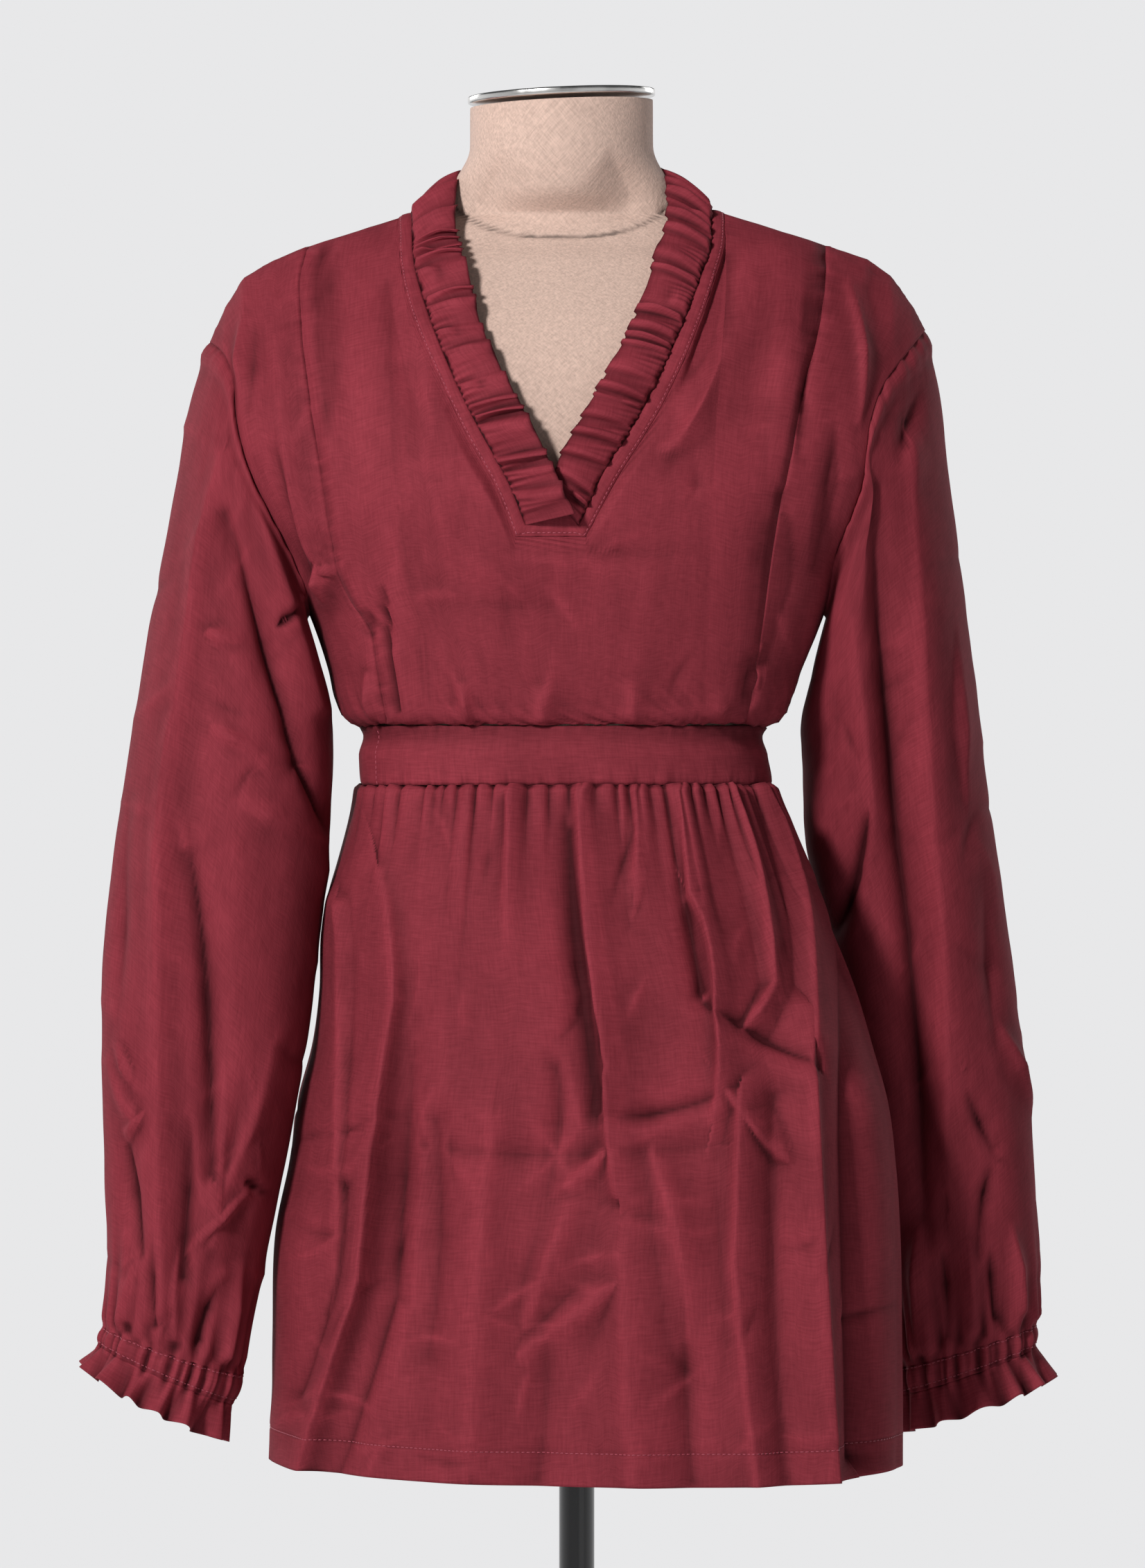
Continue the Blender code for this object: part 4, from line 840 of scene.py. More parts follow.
def armhole_loop(side, around):
    """Points of the armhole; around is 0 at the shoulder, 1 at the underarm, 2 again on top."""
    down = np.where(around <= 1, around, 2 - around)
    x, z = armhole_line(side, 1 - down * (1 - ARMHOLE_START))
    y = np.where(around <= 1, body_y(x, z, -1), body_y(x, z, 1))
    return np.column_stack((x, y, z))


def ring(rows, at, back, around):
    """One ring of a sleeve or cuff: around runs outer, front, inner, back."""
    names = ("outer_x", "outer_z", "inner_x", "inner_z", "depth")
    outer_x, outer_z, inner_x, inner_z, depth = [read(rows, name, at, "step") for name in names]
    centre = np.array(((outer_x + inner_x) / 2, back, (outer_z + inner_z) / 2))
    reach = np.array(((outer_x - inner_x) / 2, 0, (outer_z - inner_z) / 2))
    angle = around * math.pi
    forward = np.array((0.0, -1.0, 0.0)) * depth
    return centre + np.outer(np.cos(angle), reach) + np.outer(np.sin(angle), forward)


def skirt_section(angles, z, face, share):
    """The skirt's plain section at one level; angles run from its left side."""
    name = "front" if face < 0 else "back"
    left, right = read(SKIRT, "left", z), read(SKIRT, "right", z)
    across, deep = squarish(angles)
    across = -across
    x = (left + right) / 2 + across * (right - left) / 2
    side = SKIRT_SIDE_Y["left"] * (1 - across) / 2 + SKIRT_SIDE_Y["right"] * (1 + across) / 2
    y = side * ease(share * 2) + face * read(SKIRT, name, z) * deep
    hem = HEM_RISE * share * np.abs(across) ** 3
    return np.column_stack((x, y, z + hem))


# ------------------------------------------------------------ shapes of the cloth
def curled(grid, face, strength, seed):
    """A bodice panel lifted by its creases and by the slack of the cloth."""
    x, z = grid[..., 0], grid[..., 2]
    height = crease_heights(BODICE_FRONT if face < 0 else BODICE_BACK, x, z) * strength * BODICE_DEPTH
    box = (-200, 1130, 190, 1390)
    height += crease_heights(small_creases(seed, 34, box, (0, 20, -25, 80), 55, 1.9, 3.5), x, z)
    height += 1.7 * MM * noise(x * 34, z * 17, seed) + 0.45 * MM * noise(x * 90, z * 60, seed + 1)
    return height, body_outward(x, z, face)


def pucker(along, away, seed, pitch=4.5 * MM, depth=0.8 * MM, reach=9 * MM):
    """Uneven little gathers of the cloth beside a line of stitching."""
    wave = noise(along / pitch * 2.2, away * 0, seed, 2)
    return depth * wave * np.exp(-(away / reach) ** 1.2)


def make_bodice_pieces(settings):
    """Front centre, side fronts and back, each a thin shell of cloth."""
    made = {}
    side = SIDE_COLUMNS
    for face, rows in BODICE_ROWS.items():
        grid = bodice_grid(face, rows, side, NECK_STEPS)
        height, outward = curled(grid, face, settings.crease_strength, 3 - face)
        columns = height.shape[1]
        far = np.linalg.norm(np.diff(grid, axis=0), axis=-1).mean(axis=1)
        up = np.append(0, np.cumsum(far))[:, None]
        # the cloth lies flat at its seams, and gathers a little beside them
        top = np.linalg.norm(grid - grid[-1:], axis=-1)
        flat = ease(top / (14 * MM)) * (0.08 + 0.92 * ease(up / (16 * MM)))
        across = np.linalg.norm(np.diff(grid, axis=1), axis=-1)
        out = np.hstack((np.zeros((rows, 1)), np.cumsum(across, axis=1)))
        edge = np.minimum(out, out[:, -1:] - out)
        flat = flat * ease(edge / (9 * MM))
        height = height * flat
        seams = (side, columns - 1 - side) if face < 0 else ()
        for number, column in enumerate(seams):
            away = np.abs(out - out[:, column:column + 1])
            pulls = pucker(np.broadcast_to(up, away.shape), away, 30 + number)
            groove = -0.5 * MM * bell(away, 1.0 * MM)
            lip = 0.1 * MM * bell(away - 3 * MM, 2 * MM)
            height += pulls + groove + lip
        low = np.broadcast_to(up, out.shape)
        height += pucker(out, low, 41 + face, depth=1.3 * MM, reach=16 * MM)
        height -= 1.2 * MM * bell(low, 1.6 * MM)
        height += pucker(out, top, 51 + face, depth=0.5 * MM, reach=7 * MM) * ease(top / (2 * MM))
        height = np.maximum(height, -4.0 * MM)
        outer = grid + outward * height[..., None]
        if face > 0:
            made["blouse_back"] = (outer, outward)
            continue
        made["blouse_side_left"] = (outer[:, :side + 1], outward[:, :side + 1])
        made["blouse_front"] = (outer[:, side:columns - side], outward[:, side:columns - side])
        made["blouse_side_right"] = (outer[:, columns - side - 1:], outward[:, columns - side - 1:])
    return made


def waves_at(around, count, seed):
    """Uneven rounded waves round a closed ring, between about -1 and 1."""
    rng = random.Random(seed)
    steps = np.array([rng.uniform(0.55, 1.5) for _ in range(2 * count)])
    places = np.append(0, np.cumsum(steps)) / steps.sum() * 2
    tops = [rng.uniform(0.5, 1.0) * (1 if i % 2 else -1) for i in range(2 * count)]
    tops = np.array(tops + tops[:1])
    at = np.interp(around % 2, places, np.arange(len(places)))
    low = np.clip(at.astype(int), 0, 2 * count - 1)
    share = ease(at - low)
    return tops[low] * (1 - share) + tops[low + 1] * share


def casing_waves(side, around):
    """The large and the small gathers round a casing."""
    seed = CUFF_SEED[side]
    return waves_at(around, CASING_WAVES, seed), waves_at(around, SMALL_WAVES, seed + 1)


def make_sleeve_piece(side, settings):
    """A sleeve from its armhole to the casing."""
    around = np.linspace(0, 2, SLEEVE_GRID[0], endpoint=False)
    steps = np.linspace(0, 1, SLEEVE_GRID[1])
    rows = SLEEVES[side]
    hole = armhole_loop(side, around)
    first = ring(rows, 0, read(rows, "back", 0, "step"), around)
    grid = np.stack([ring(rows, step, read(rows, "back", step, "step"), around)
                     + (1 - ease(step / 0.3)) * (hole - first) for step in steps])
    outward = turned(normals(grid, True), grid, grid.mean(axis=1, keepdims=True))
    x, z = grid[..., 0], grid[..., 2]
    front, back = {"left": (SLEEVE_LEFT_FRONT, SLEEVE_LEFT_BACK),
                   "right": (SLEEVE_RIGHT_FRONT, SLEEVE_RIGHT_BACK)}[side]
    facing = np.sin(around * math.pi)[None, :]
    height = crease_heights(front, x, z) * ease((facing + 0.12) / 0.3)
    height += crease_heights(back, x, z) * ease((-facing + 0.12) / 0.3)
    seed = SLEEVE_SEED[side]
    box = (-285, 770, -150, 1320) if side == "left" else (140, 770, 285, 1320)
    height = SLEEVE_DEPTH * height + crease_heights(
        small_creases(seed, 46, box, (10, -10, 60, -60, 35), 60, 1.6, 4), x, z)
    height = height * settings.crease_strength
    turn = around[None, :] * 0.35
    head = steps[:, None] * SLEEVE_LENGTH
    swing = np.cos(np.pi * around)[None, :]
    height += 1.6 * MM * noise(swing * 2.2 + 0 * head, head * 16 + turn, seed)
    height += 0.4 * MM * noise(swing * 7, head * 60 + turn, seed + 1)
    height = height * ease(steps / 0.05)[:, None]
    # gathers run up from the casing
    left_over = 1 - steps[:, None]
    gathers = waves_at(around, CASING_WAVES, seed + 2)[None, :]
    reach = 0.055 + 0.035 * noise(around * 9, around * 0, seed + 3)
    grown = np.exp(-(left_over / reach[None, :]) ** 1.3)
    height += 3.3 * MM * gathers * grown * settings.gather_strength
    height -= 1.6 * MM * bell(left_over, 0.006)
    height += pucker(around[None, :] * 0.2 + 0 * head, head, seed + 4, depth=0.8 * MM)
    height -= 1.0 * MM * bell(head, 1.6 * MM)
    height = height + 2.2 * MM * bell(head - 9 * MM, 6 * MM)
    # the last rows follow the casing's own gathers
    fine, small = casing_waves(side, around)
    casing = 0.6 * (1.9 * fine + 0.8 * small) * MM
    joined = bell(left_over, 0.010)
    height = height * (1 - joined) + (casing[None, :] + 0.2 * MM) * joined
    return grid + outward * height[..., None], outward


def make_cuff_pieces(side, settings):
    """The gathered casing and the frill below it."""
    around = np.linspace(0, 2, CUFF_COLUMNS, endpoint=False)
    made = {}
    fine, small = casing_waves(side, around)
    gathers = 2.3 * fine + 1.1 * small
    waves = waves_at(around, 14, CUFF_SEED[side] + 2)
    for name, start, end, count in (("casing", 0, 0.5, 13), ("frill", 0.5, 1, 19)):
        grid = np.stack([ring(CUFFS[side], step, CUFF_BACK[side], around)
                         for step in np.linspace(start, end, count)])
        outward = turned(normals(grid, True), grid, grid.mean(axis=1, keepdims=True))
        share = np.linspace(0, 1, count)[:, None]
        if name == "casing":
            arch = np.sin(np.pi * share)
            height = 0.9 * MM * arch + gathers * MM * (0.6 + 0.4 * arch)
            for line in (0.12, 0.88):
                height = height - 0.5 * MM * bell(share - line, 0.05)
        else:
            wide = 6.6 * MM * share ** 0.8 * waves
            height = wide + 0.6 * gathers * (1 - share) ** 1.5 * MM
            height = height * settings.gather_strength
        made[name] = (grid + outward * height[..., None], outward)
    return made


def make_waistband_pieces():
    """The waistband's front and back, a little proud of the seams."""
    made = {}
    share = np.linspace(0, 1, 16)
    tall = WAIST_TOP - WAIST_BOTTOM
    side, deep = squarish(np.linspace(0, math.pi, 211))
    for name, face in (("front", -1), ("back", 1)):
        rings = []
        for z in WAIST_BOTTOM + share * tall:
            x = read(BODY, "centre", z) - read(BODY, "half_width", z) * side
            y = face * read(BODY, name, z) * deep
            rings.append(np.column_stack((x, y, np.full(len(x), z))))
        grid = np.stack(rings)
        outward = turned(normals(grid), grid, grid.mean(axis=(0, 1)) * np.array((1, 0, 1)))
        x, z = grid[..., 0], grid[..., 2]
        from_top, from_foot = (1 - share)[:, None] * tall, share[:, None] * tall
        height = 1.1 * MM * np.sin(np.pi * share)[:, None] ** 0.35 + 0 * x
        height += 0.5 * MM * noise(x * 40, z * 60, 60 + face)
        height += pucker(x, from_top, 62 + face, depth=0.5 * MM, reach=6 * MM)
        height += pucker(x, from_foot, 64 + face, pitch=3.5 * MM, depth=0.8 * MM, reach=8 * MM)
        made[name] = (grid + outward * height[..., None], outward)
    return made


def waist_puffs(x, below, face, seed):
    """Rounded puffs between the tucks at the waist, which spread and fade further down."""
    rng = random.Random(seed)
    tucks = np.array(WAIST_TUCKS["front" if face < 0 else "back"]) * MM
    reach = np.array([rng.choice((5, 9, 14, 26, 46)) * rng.uniform(0.8, 1.2) for _ in tucks]) * MM
    share_of = np.array([rng.uniform(0.5, 1.1) for _ in tucks])
    turned_over = np.array([rng.random() < 0.6 for _ in tucks])
    top = x / (1 + np.where(x > 0, 3.4, 1.6) * below)
    place = np.clip(np.searchsorted(tucks, top) - 1, 0, len(tucks) - 2)
    gap = tucks[place + 1] - tucks[place]
    share = np.clip((top - tucks[place]) / gap, 0, 1)
    share = np.where(turned_over[place], 1 - share, share)
    puff = 1.25 * (1 - share ** 6) * (1 - (1 - share) ** 2.2)
    tall = np.minimum(0.6 * gap, 4.6 * MM) * share_of[place]
    return tall * puff * np.exp(-(below / (reach[place] + 0.8 * gap)) ** 1.3)


def make_skirt_piece(face, settings):
    """The gathered front or back of the skirt part."""
    columns, levels = SKIRT_GRID[face]
    angles = np.linspace(0, math.pi, columns)
    grid = np.stack([skirt_section(angles, WAIST_BOTTOM + share * (HEM_Z - WAIST_BOTTOM), face, share)
                     for share in np.linspace(0, 1, levels) ** SKIRT_CROWDING])
    outward = turned(normals(grid), grid, grid.mean(axis=(0, 1)) * np.array((1, 0, 1)))
    x, z = grid[..., 0], grid[..., 2]
    rows, strength = (SKIRT_FRONT, 1.22) if face < 0 else (SKIRT_BACK, 1.5)
    height, sideways = crease_heights(rows, x, z, lean=True)
    height, sideways = height * strength, sideways * strength
    for seed, count, box, lean, length, tall in (
            (200, 46, (-170, 700, 180, 900), (80, 60, 100, 20), 55, 2.0),
            (205, 30, (-140, 860, 150, 1070), (5, -10, 15), 60, 1.6)):
        small = small_creases(seed + face, count, box, lean, length, tall, 3.5)
        height += crease_heights(small, x, z)
    height = height * settings.crease_strength
    below = WAIST_BOTTOM - z
    seed = 90 + face
    height += 2.4 * MM * noise(x * 42, z * 8, seed) * ease(below / (60 * MM))
    height += 0.5 * MM * noise(x * 70, z * 24, seed + 2)
    height += waist_puffs(x, below, face, seed) * settings.gather_strength
    height -= 2.5 * MM * bell(below, 2.0 * MM)
    # the hem's line of stitching
    line = z - (HEM_Z + HEM_WIDTH + HEM_RISE * 0.8 * np.abs(np.cos(angles))[None, :] ** 3)
    height -= 0.5 * MM * bell(line, 1.2 * MM)
    height += 0.35 * MM * noise(x * 260, z * 90, seed + 6, 2) * bell(line, 9 * MM)
    # the sides stay on the plain section, where front and back are sewn together
    sides = ease(np.sin(angles)[None, :] / 0.16)
    sideways = sideways * sides * ease(below / (6 * MM))
    across = np.gradient(grid, axis=1)
    across /= np.linalg.norm(across, axis=-1, keepdims=True)
    moved = grid + outward * (height * sides)[..., None] + across * sideways[..., None]
    return moved, outward


# ------------------------------------------------------- neckline, form, stitches
def neck_path(fine, closed):
    """Fractional rows of the neckline table from the foot of the V round and back."""
    last = len(NECKLINE["face"]) - 1
    row = np.linspace(0, last, fine * last + 1)
    seam = on_body(neck_table("seam_x", row), neck_table("seam_z", row), row)
    band = on_body(neck_table("band_x", row), neck_table("band_z", row), row)
    if not closed:
        return row, seam, band
    foot = np.linspace(0, 1, 26)[1:-1, None]
    lines = []
    for line, rise in ((seam, 8 * MM), (band, 0)):
        flat = line[-1] * (1 - foot) + line[0] * foot
        flat[:, 2] += (rise * ease(foot / 0.15) * ease((1 - foot) / 0.15))[:, 0]
        flat[:, 1] = body_y(flat[:, 0], flat[:, 2], -1)
        lines.append(np.concatenate((line, flat)))
    return row, lines[0], lines[1]


def make_neck_band_piece():
    """The flat band round the neckline, with its square foot."""
    _, seam, band = neck_path(16, True)
    share = np.linspace(0, 1, 13)[:, None]
    grid = seam * (1 - share[..., None]) + band * share[..., None]
    outward = turned(normals(grid, True), grid, FORM_MIDDLE)
    along = lengths(band)[None, :]
    height = 1.1 * MM * np.sin(np.pi * share) ** 0.45 + 0 * along
    height += 0.5 * MM * noise(along * 90 + 0 * share, share * 2 + 0 * along, 120)
    height -= 0.45 * MM * bell(share - 0.84, 0.07)
    height += 0.35 * MM * noise(along * 420 + 0 * share, share + 0 * along, 121, 2) * share
    return grid + outward * height[..., None], outward


def knife(place, widths, heights, lean):
    """Flattish pleats that rise slowly and drop quickly, one for each width."""
    starts = np.append(0, np.cumsum(widths)) / np.sum(widths)
    at = np.interp(place, starts, np.arange(len(starts)))
    pleat = np.clip(at.astype(int), 0, len(widths) - 1)
    share = at - pleat
    rise = ease(share / lean) * (1 - ease((share - lean) / (1 - lean)))
    return heights[pleat] * rise, pleat, share


def make_ruffle_piece(settings):
    """The frill inside the neckline, in knife-like gathers that open to its edge."""
    row, seam, _ = neck_path(52, False)
    edge = np.column_stack([neck_table(name, row) for name in ("edge_x", "edge_y", "edge_z")])
    along = lengths(seam)
    place = along / along[-1]
    rng = random.Random(17)
    widths = np.array([rng.choice((0.45, 0.7, 1.0, 1.4, 2.0)) * rng.uniform(0.85, 1.15)
                       for _ in range(FRILL_PLEATS)])
    heights = np.array([rng.uniform(0.55, 1.15) for _ in range(FRILL_PLEATS)])
    short = np.array([rng.random() < 0.3 for _ in range(FRILL_PLEATS)])
    pleats, pleat, share_in = knife(place, widths, heights, 0.82)
    tall = heights[pleat][None, :]
    t = np.linspace(0, 1, FRILL_LEVELS)[:, None]
    inward = edge - seam
    grid = seam + t[..., None] * inward
    outward = turned(normals(grid), grid, np.array((-8 * MM, 10 * MM, 1330 * MM)))
    # a light roll of the whole frill: up from the seam and over to its edge
    roll = 2.4 * MM * np.sin(np.pi * t) ** 0.8
    reach = np.where(short[pleat], 0.45, 1.1)[None, :]
    fold = pleats[None, :] * (1 - ease((t - reach * 0.55) / (reach * 0.6)) * 0.85)
    fold = fold * ease(t / 0.12) * (1 + 0.4 * t)
    wide = noise(along * 62, along * 0, 19, 2)[None, :]
    wave = 2.4 * MM * wide * t ** 1.4 + 0.9 * MM * noise(along * 190, along * 0, 23, 2)[None, :] * t
    tucks = noise(along * 900, along * 0, 29, 2)[None, :] * bell(t, 0.42)
    height = roll + (4.6 * fold + 1.5 * tucks) * MM * settings.gather_strength + wave + 0.5 * MM
    ends = ease(np.minimum(place, 1 - place) / 0.012)[None, :]
    height = height * (0.4 + 0.6 * ends)
    across = np.gradient(seam, axis=0)
    across = across / np.linalg.norm(across, axis=1, keepdims=True)
    slide = 2.2 * MM * np.sin(2 * np.pi * share_in)[None, :] * tall * t
    outer = grid + outward * height[..., None] + across[None, ...] * slide[..., None]
    # the edge is uneven: pleats pull it in and let it out
    uneven = (1.3 * wide + 2.6 * (share_in - 0.5)[None, :] * tall) * MM * t ** 2
    inward /= np.linalg.norm(inward, axis=1, keepdims=True)
    return outer + inward[None, ...] * uneven[..., None], outward


STITCH_SHARE = 0.74             # a stitch's length as a share of the pitch
STITCH_RADIUS = 0.29 * MM
STITCH_SINK = 0.13 * MM


def stitch_points(line, outward, pitch):
    """Points and faces of a row of short stitches along a line on the cloth."""
    away = lengths(line)
    length = pitch * STITCH_SHARE
    points, faces = [], []
    rng = random.Random(len(line))
    for i in range(int(away[-1] / pitch)):
        middle = (i + 0.5) * pitch
        start, end, centre = (np.array([np.interp(at, away, line[:, a]) for a in range(3)])
                              for at in (middle - length / 2, middle + length / 2, middle))
        up = np.array([np.interp(middle, away, outward[:, a]) for a in range(3)])
        tangent = (end - start) / max(np.linalg.norm(end - start), 1e-9)
        up = up - tangent * (up @ tangent)
        up /= max(np.linalg.norm(up), 1e-9)
        side = np.cross(tangent, up)
        centre = centre + up * (STITCH_RADIUS - STITCH_SINK) + side * rng.uniform(-0.08, 0.08) * MM
        base = len(points)
        points.append(centre - tangent * (length / 2) - up * STITCH_RADIUS)
        for place in (-0.34, 0.34):
            for turn in range(6):
                angle = turn * math.pi / 3
                around = (side * math.cos(angle) * STITCH_RADIUS
                          + up * math.sin(angle) * STITCH_RADIUS * 0.8)
                points.append(centre + tangent * length * place + around)
        points.append(centre + tangent * (length / 2) - up * STITCH_RADIUS)
        for turn in range(6):
            a, b = base + 1 + turn, base + 1 + (turn + 1) % 6
            faces += [(base, b, a), (a, b, b + 6, a + 6), (a + 6, b + 6, base + 13)]
    return np.array(points), faces


def stitch_row(name, lines, settings):
    """One object of stitches along several lines of (points, outward normals)."""
    all_points, all_faces, base = [], [], 0
    for line, outward in lines:
        points, faces = stitch_points(line, outward, settings.stitch_pitch)
        all_points.append(points)
        all_faces += [tuple(corner + base for corner in face) for face in faces]
        base += len(points)
    return piece_mesh(name, np.concatenate(all_points), all_faces)


# the form inside the blouse
FORM_WIDTH = table(
    "z left right",
    (1192, -148, 134), (1223, -160, 146), (1245, -172, 158), (1281, -186, 172),
    (1310, -192, 178), (1340, -196, 182), (1360, -196, 181), (1375, -194, 178),
    (1386, -188, 172), (1394, -174, 160), (1402, -154, 143), (1410, -128, 118),
    (1417, -101, 88), (1424, -76, 58),
)
NECK_FORM = table(
    "z half front back",
    (1424, 60, 34, 34), (1432, 59, 40, 40), (1444, 56, 42, 42),
    (1452, 55, 44, 44), (1490, 54, 44, 44),
)
FORM_INSET = 5.5 * MM           # the form lies this far inside the bodice
NECK_CLEARANCE = 5 * MM         # and this much more beside the neck
FORM_DROP = 2.4 * MM            # its shoulders are this much lower
NECK_CENTRE = -9 * MM
NECK_HALF = 60 * MM
NECK_TILT = 0.046               # the neck's top is higher at its right


def form_section(z, angle):
    """The form's level section, inside the bodice."""
    if z < UNDERARM_Z:
        half = read(BODY, "half_width", z) - FORM_INSET
        left, right = read(BODY, "centre", z) - half, read(BODY, "centre", z) + half
    else:
        left, right = read(FORM_WIDTH, "left", z), read(FORM_WIDTH, "right", z)
    across = squarish(angle)[0]
    x = (left + right) / 2 + across * (right - left) / 2
    end = np.sqrt(np.clip(1 - np.abs(across) ** 7, 0, 1))
    inset = FORM_INSET + NECK_CLEARANCE * ease((z - 1393 * MM) / (15 * MM))
    y = np.where(np.sin(angle) < 0, body_y(x, z, -1, inset, FORM_DROP),
                 body_y(x, z, 1, inset, FORM_DROP))
    return np.column_stack((x, y * end, np.full(len(x), z)))


def neck_section(z, angle):
    """The neck's level section."""
    half, front, back = (read(NECK_FORM, name, z) for name in ("half", "front", "back"))
    depth = np.where(np.sin(angle) < 0, front, back)
    return np.column_stack((NECK_CENTRE + half * np.cos(angle), depth * np.sin(angle),
                            np.full(len(angle), z)))


def make_form_piece():
    """The form's linen cover with the gathered seam at its neck's root and painted shade along it."""
    angle = np.linspace(0, 2 * math.pi, 209)[:-1]
    levels = np.concatenate((np.linspace(862, 1380, 60), np.linspace(1382, 1489.6, 76))) * MM
    middle = form_section(1415 * MM, angle)
    out = np.abs(middle[:, 0] - NECK_CENTRE) / NECK_HALF
    seam = np.where(np.sin(angle) < 0, np.minimum(1409 + 18 * out ** 3, 1430), 1430) * MM
    rings = []
    for z in levels:
        torso = form_section(min(z, 1423.5 * MM), angle)
        neck = neck_section(max(z, 1424 * MM), angle)
        share = ease((z - seam + 2 * MM) / (36 * MM))[:, None]
        one = torso * (1 - share) + neck * share
        top = ease((z - 1450 * MM) / (40 * MM))
        one[:, 2] = z + top * (one[:, 0] - NECK_CENTRE) * NECK_TILT
        rings.append(one)
    grid = np.stack(rings)
    outward = turned(normals(grid, True), grid, grid.mean(axis=1, keepdims=True))
    out = np.abs(grid[..., 0] - NECK_CENTRE) / NECK_HALF
    line = np.where(np.sin(angle) < 0, 1409 + 16 * np.minimum(out, 1.1) ** 3, 1430) * MM
    away = grid[..., 2] - line
    gathers = noise(angle * 60, angle * 0, 7, 2)[None, :]
    height = 0.35 * MM * gathers * bell(away, 5 * MM)
    height -= 1.0 * MM * bell(away, 1.0 * MM)
    # painted shade along the seam's groove, which the linen material reads as the fold attribute
    fold = 0.34 * bell(away, 0.9 * MM) * (1 + 0.5 * gathers)
    for place in (0, math.pi):      # the cover's side seams
        turn = np.abs((angle - place + math.pi) % (2 * math.pi) - math.pi)[None, :]
        height -= 0.7 * MM * bell(turn, 0.012)
    grid = grid + outward * height[..., None]
    index, faces = quads(*grid.shape[:2], True)
    faces = faces.tolist() + [index[0, :-1][::-1].tolist(), index[-1, :-1].tolist()]
    return piece_mesh("dress_form", grid.reshape(-1, 3), faces, fold=fold.ravel())


# ----------------------------------------------------------------- materials
LOOK = "look_"                  # sets these materials apart from the frame's own


def node(tree, kind, settings=(), **links):
    """A shader node with its settings and links, by socket name."""
    made = tree.nodes.new(kind)
    for name, value in dict(settings).items():
        if hasattr(made, name):
            setattr(made, name, value)
        else:
            made.inputs[name.replace("_", " ")].default_value = value
    for name, source in links.items():
        tree.links.new(source, made.inputs[name.replace("_", " ")])
    return made


def new_material(name, colour, roughness, **extra):
    """A Principled material; extra names other sockets of the shader."""
    made = bpy.data.materials.new(LOOK + name)
    made.use_nodes = True
    shader = made.node_tree.nodes["Principled BSDF"]
    shader.inputs["Base Color"].default_value = (*colour[:3], 1)
    shader.inputs["Roughness"].default_value = roughness
    for socket, value in extra.items():
        shader.inputs[socket.replace("_", " ")].default_value = value
    return made, made.node_tree, shader


def output(tree, kind, settings=(), **links):
    """The first output of a new node."""
    return node(tree, kind, settings, **links).outputs[0]


def combined(tree, operation, first, second):
    """The result of a sum on two sockets."""
    made = node(tree, "ShaderNodeMath", {"operation": operation})
    tree.links.new(first, made.inputs[0])
    tree.links.new(second, made.inputs[1])
    return made.outputs[0]


def ranged(tree, source, before, after=(0.0, 1.0)):
    """A value taken from one range to another."""
    return output(tree, "ShaderNodeMapRange", {
        "From_Min": before[0], "From_Max": before[1],
        "To_Min": after[0], "To_Max": after[1]}, Value=source)


def mixed(tree, low, high, factor):
    """A colour between two, by a factor socket."""
    mix = node(tree, "ShaderNodeMix", {"data_type": "RGBA"})
    mix.inputs[6].default_value = (*low[:3], 1)
    mix.inputs[7].default_value = (*high[:3], 1)
    tree.links.new(factor, mix.inputs[0])
    return mix.outputs[2]


def scaled(colour, share):
    """A darker or lighter colour."""
    return [channel * share for channel in colour[:3]]


def speckle(tree, place, scale, detail, roughness=0.5):
    """Noise over a place; scale is one number, or one for each axis."""
    if isinstance(scale, tuple):
        place = output(tree, "ShaderNodeMapping", {"Scale": scale}, Vector=place)
        scale = 1.0
    return output(tree, "ShaderNodeTexNoise", {
        "Scale": scale, "Detail": detail, "Roughness": roughness}, Vector=place)


def bumped(tree, height, strength, distance, **links):
    """A normal with fine relief."""
    return output(tree, "ShaderNodeBump", {"Strength": strength, "Distance": distance},
                  Height=height, **links)


def paint_fold_shade(tree, colour, before, after, value=None):
    """A colour with painted shade in the hollows of the cloth; ridges may be painted lighter."""
    fold = node(tree, "ShaderNodeAttribute", {"attribute_name": "fold"})
    shaded = ranged(tree, fold.outputs["Fac"], before, after)
    if value is not None:
        shaded = combined(tree, "MULTIPLY", value, shaded)
    return output(tree, "ShaderNodeHueSaturation", Color=colour, Value=shaded)


def cloth_material(name, colour, shade):
    """Woven cloth: fine slub along its length, a weave, a soft sheen, painted shade in hollows."""
    _, tree, shader = new_material(
        name, colour, 0.75, Sheen_Weight=0.04, Sheen_Roughness=0.4,
        Sheen_Tint=(0.75, 0.25, 0.30, 1), Specular_IOR_Level=0.07)
    place = output(tree, "ShaderNodeUVMap", {"uv_map": "weave"})
    slub = speckle(tree, place, (800, 70, 1), 3.0, 0.6)
    weft = speckle(tree, place, (80, 900, 1), 2.0)
    threads = combined(tree, "ADD", slub, weft)
    tone = mixed(tree, shade, colour, ranged(tree, threads, (0.7, 1.3)))
    worn = speckle(tree, place, 15.0, 4.0, 0.55)
    streaks = speckle(tree, place, (44, 15, 1), 3.0, 0.55)
    cloudy = output(tree, "ShaderNodeMix", A=worn, B=streaks)
    value = ranged(tree, cloudy, (0.3, 0.7), (0.80, 1.18))
    # painted shade: the base colour darkens to about a quarter in the cloth's hollows, and ridges are
    # painted up to 8% lighter
    fold_shaded = paint_fold_shade(tree, tone, (-0.06, 0.26), (1.08, 0.26), value)
    tree.links.new(fold_shaded, shader.inputs["Base Color"])
    bands = [output(tree, "ShaderNodeTexWave",
                    {"bands_direction": axis, "Scale": 1.0, "Distortion": 1.2},
                    Vector=output(tree, "ShaderNodeMapping", {"Scale": (420, 420, 1)}, Vector=place))
             for axis in "XY"]
    weave = combined(tree, "MAXIMUM", *bands)
    fine = bumped(tree, weave, 0.16, 0.00015)
    tree.links.new(bumped(tree, threads, 0.30, 0.00035, Normal=fine), shader.inputs["Normal"])


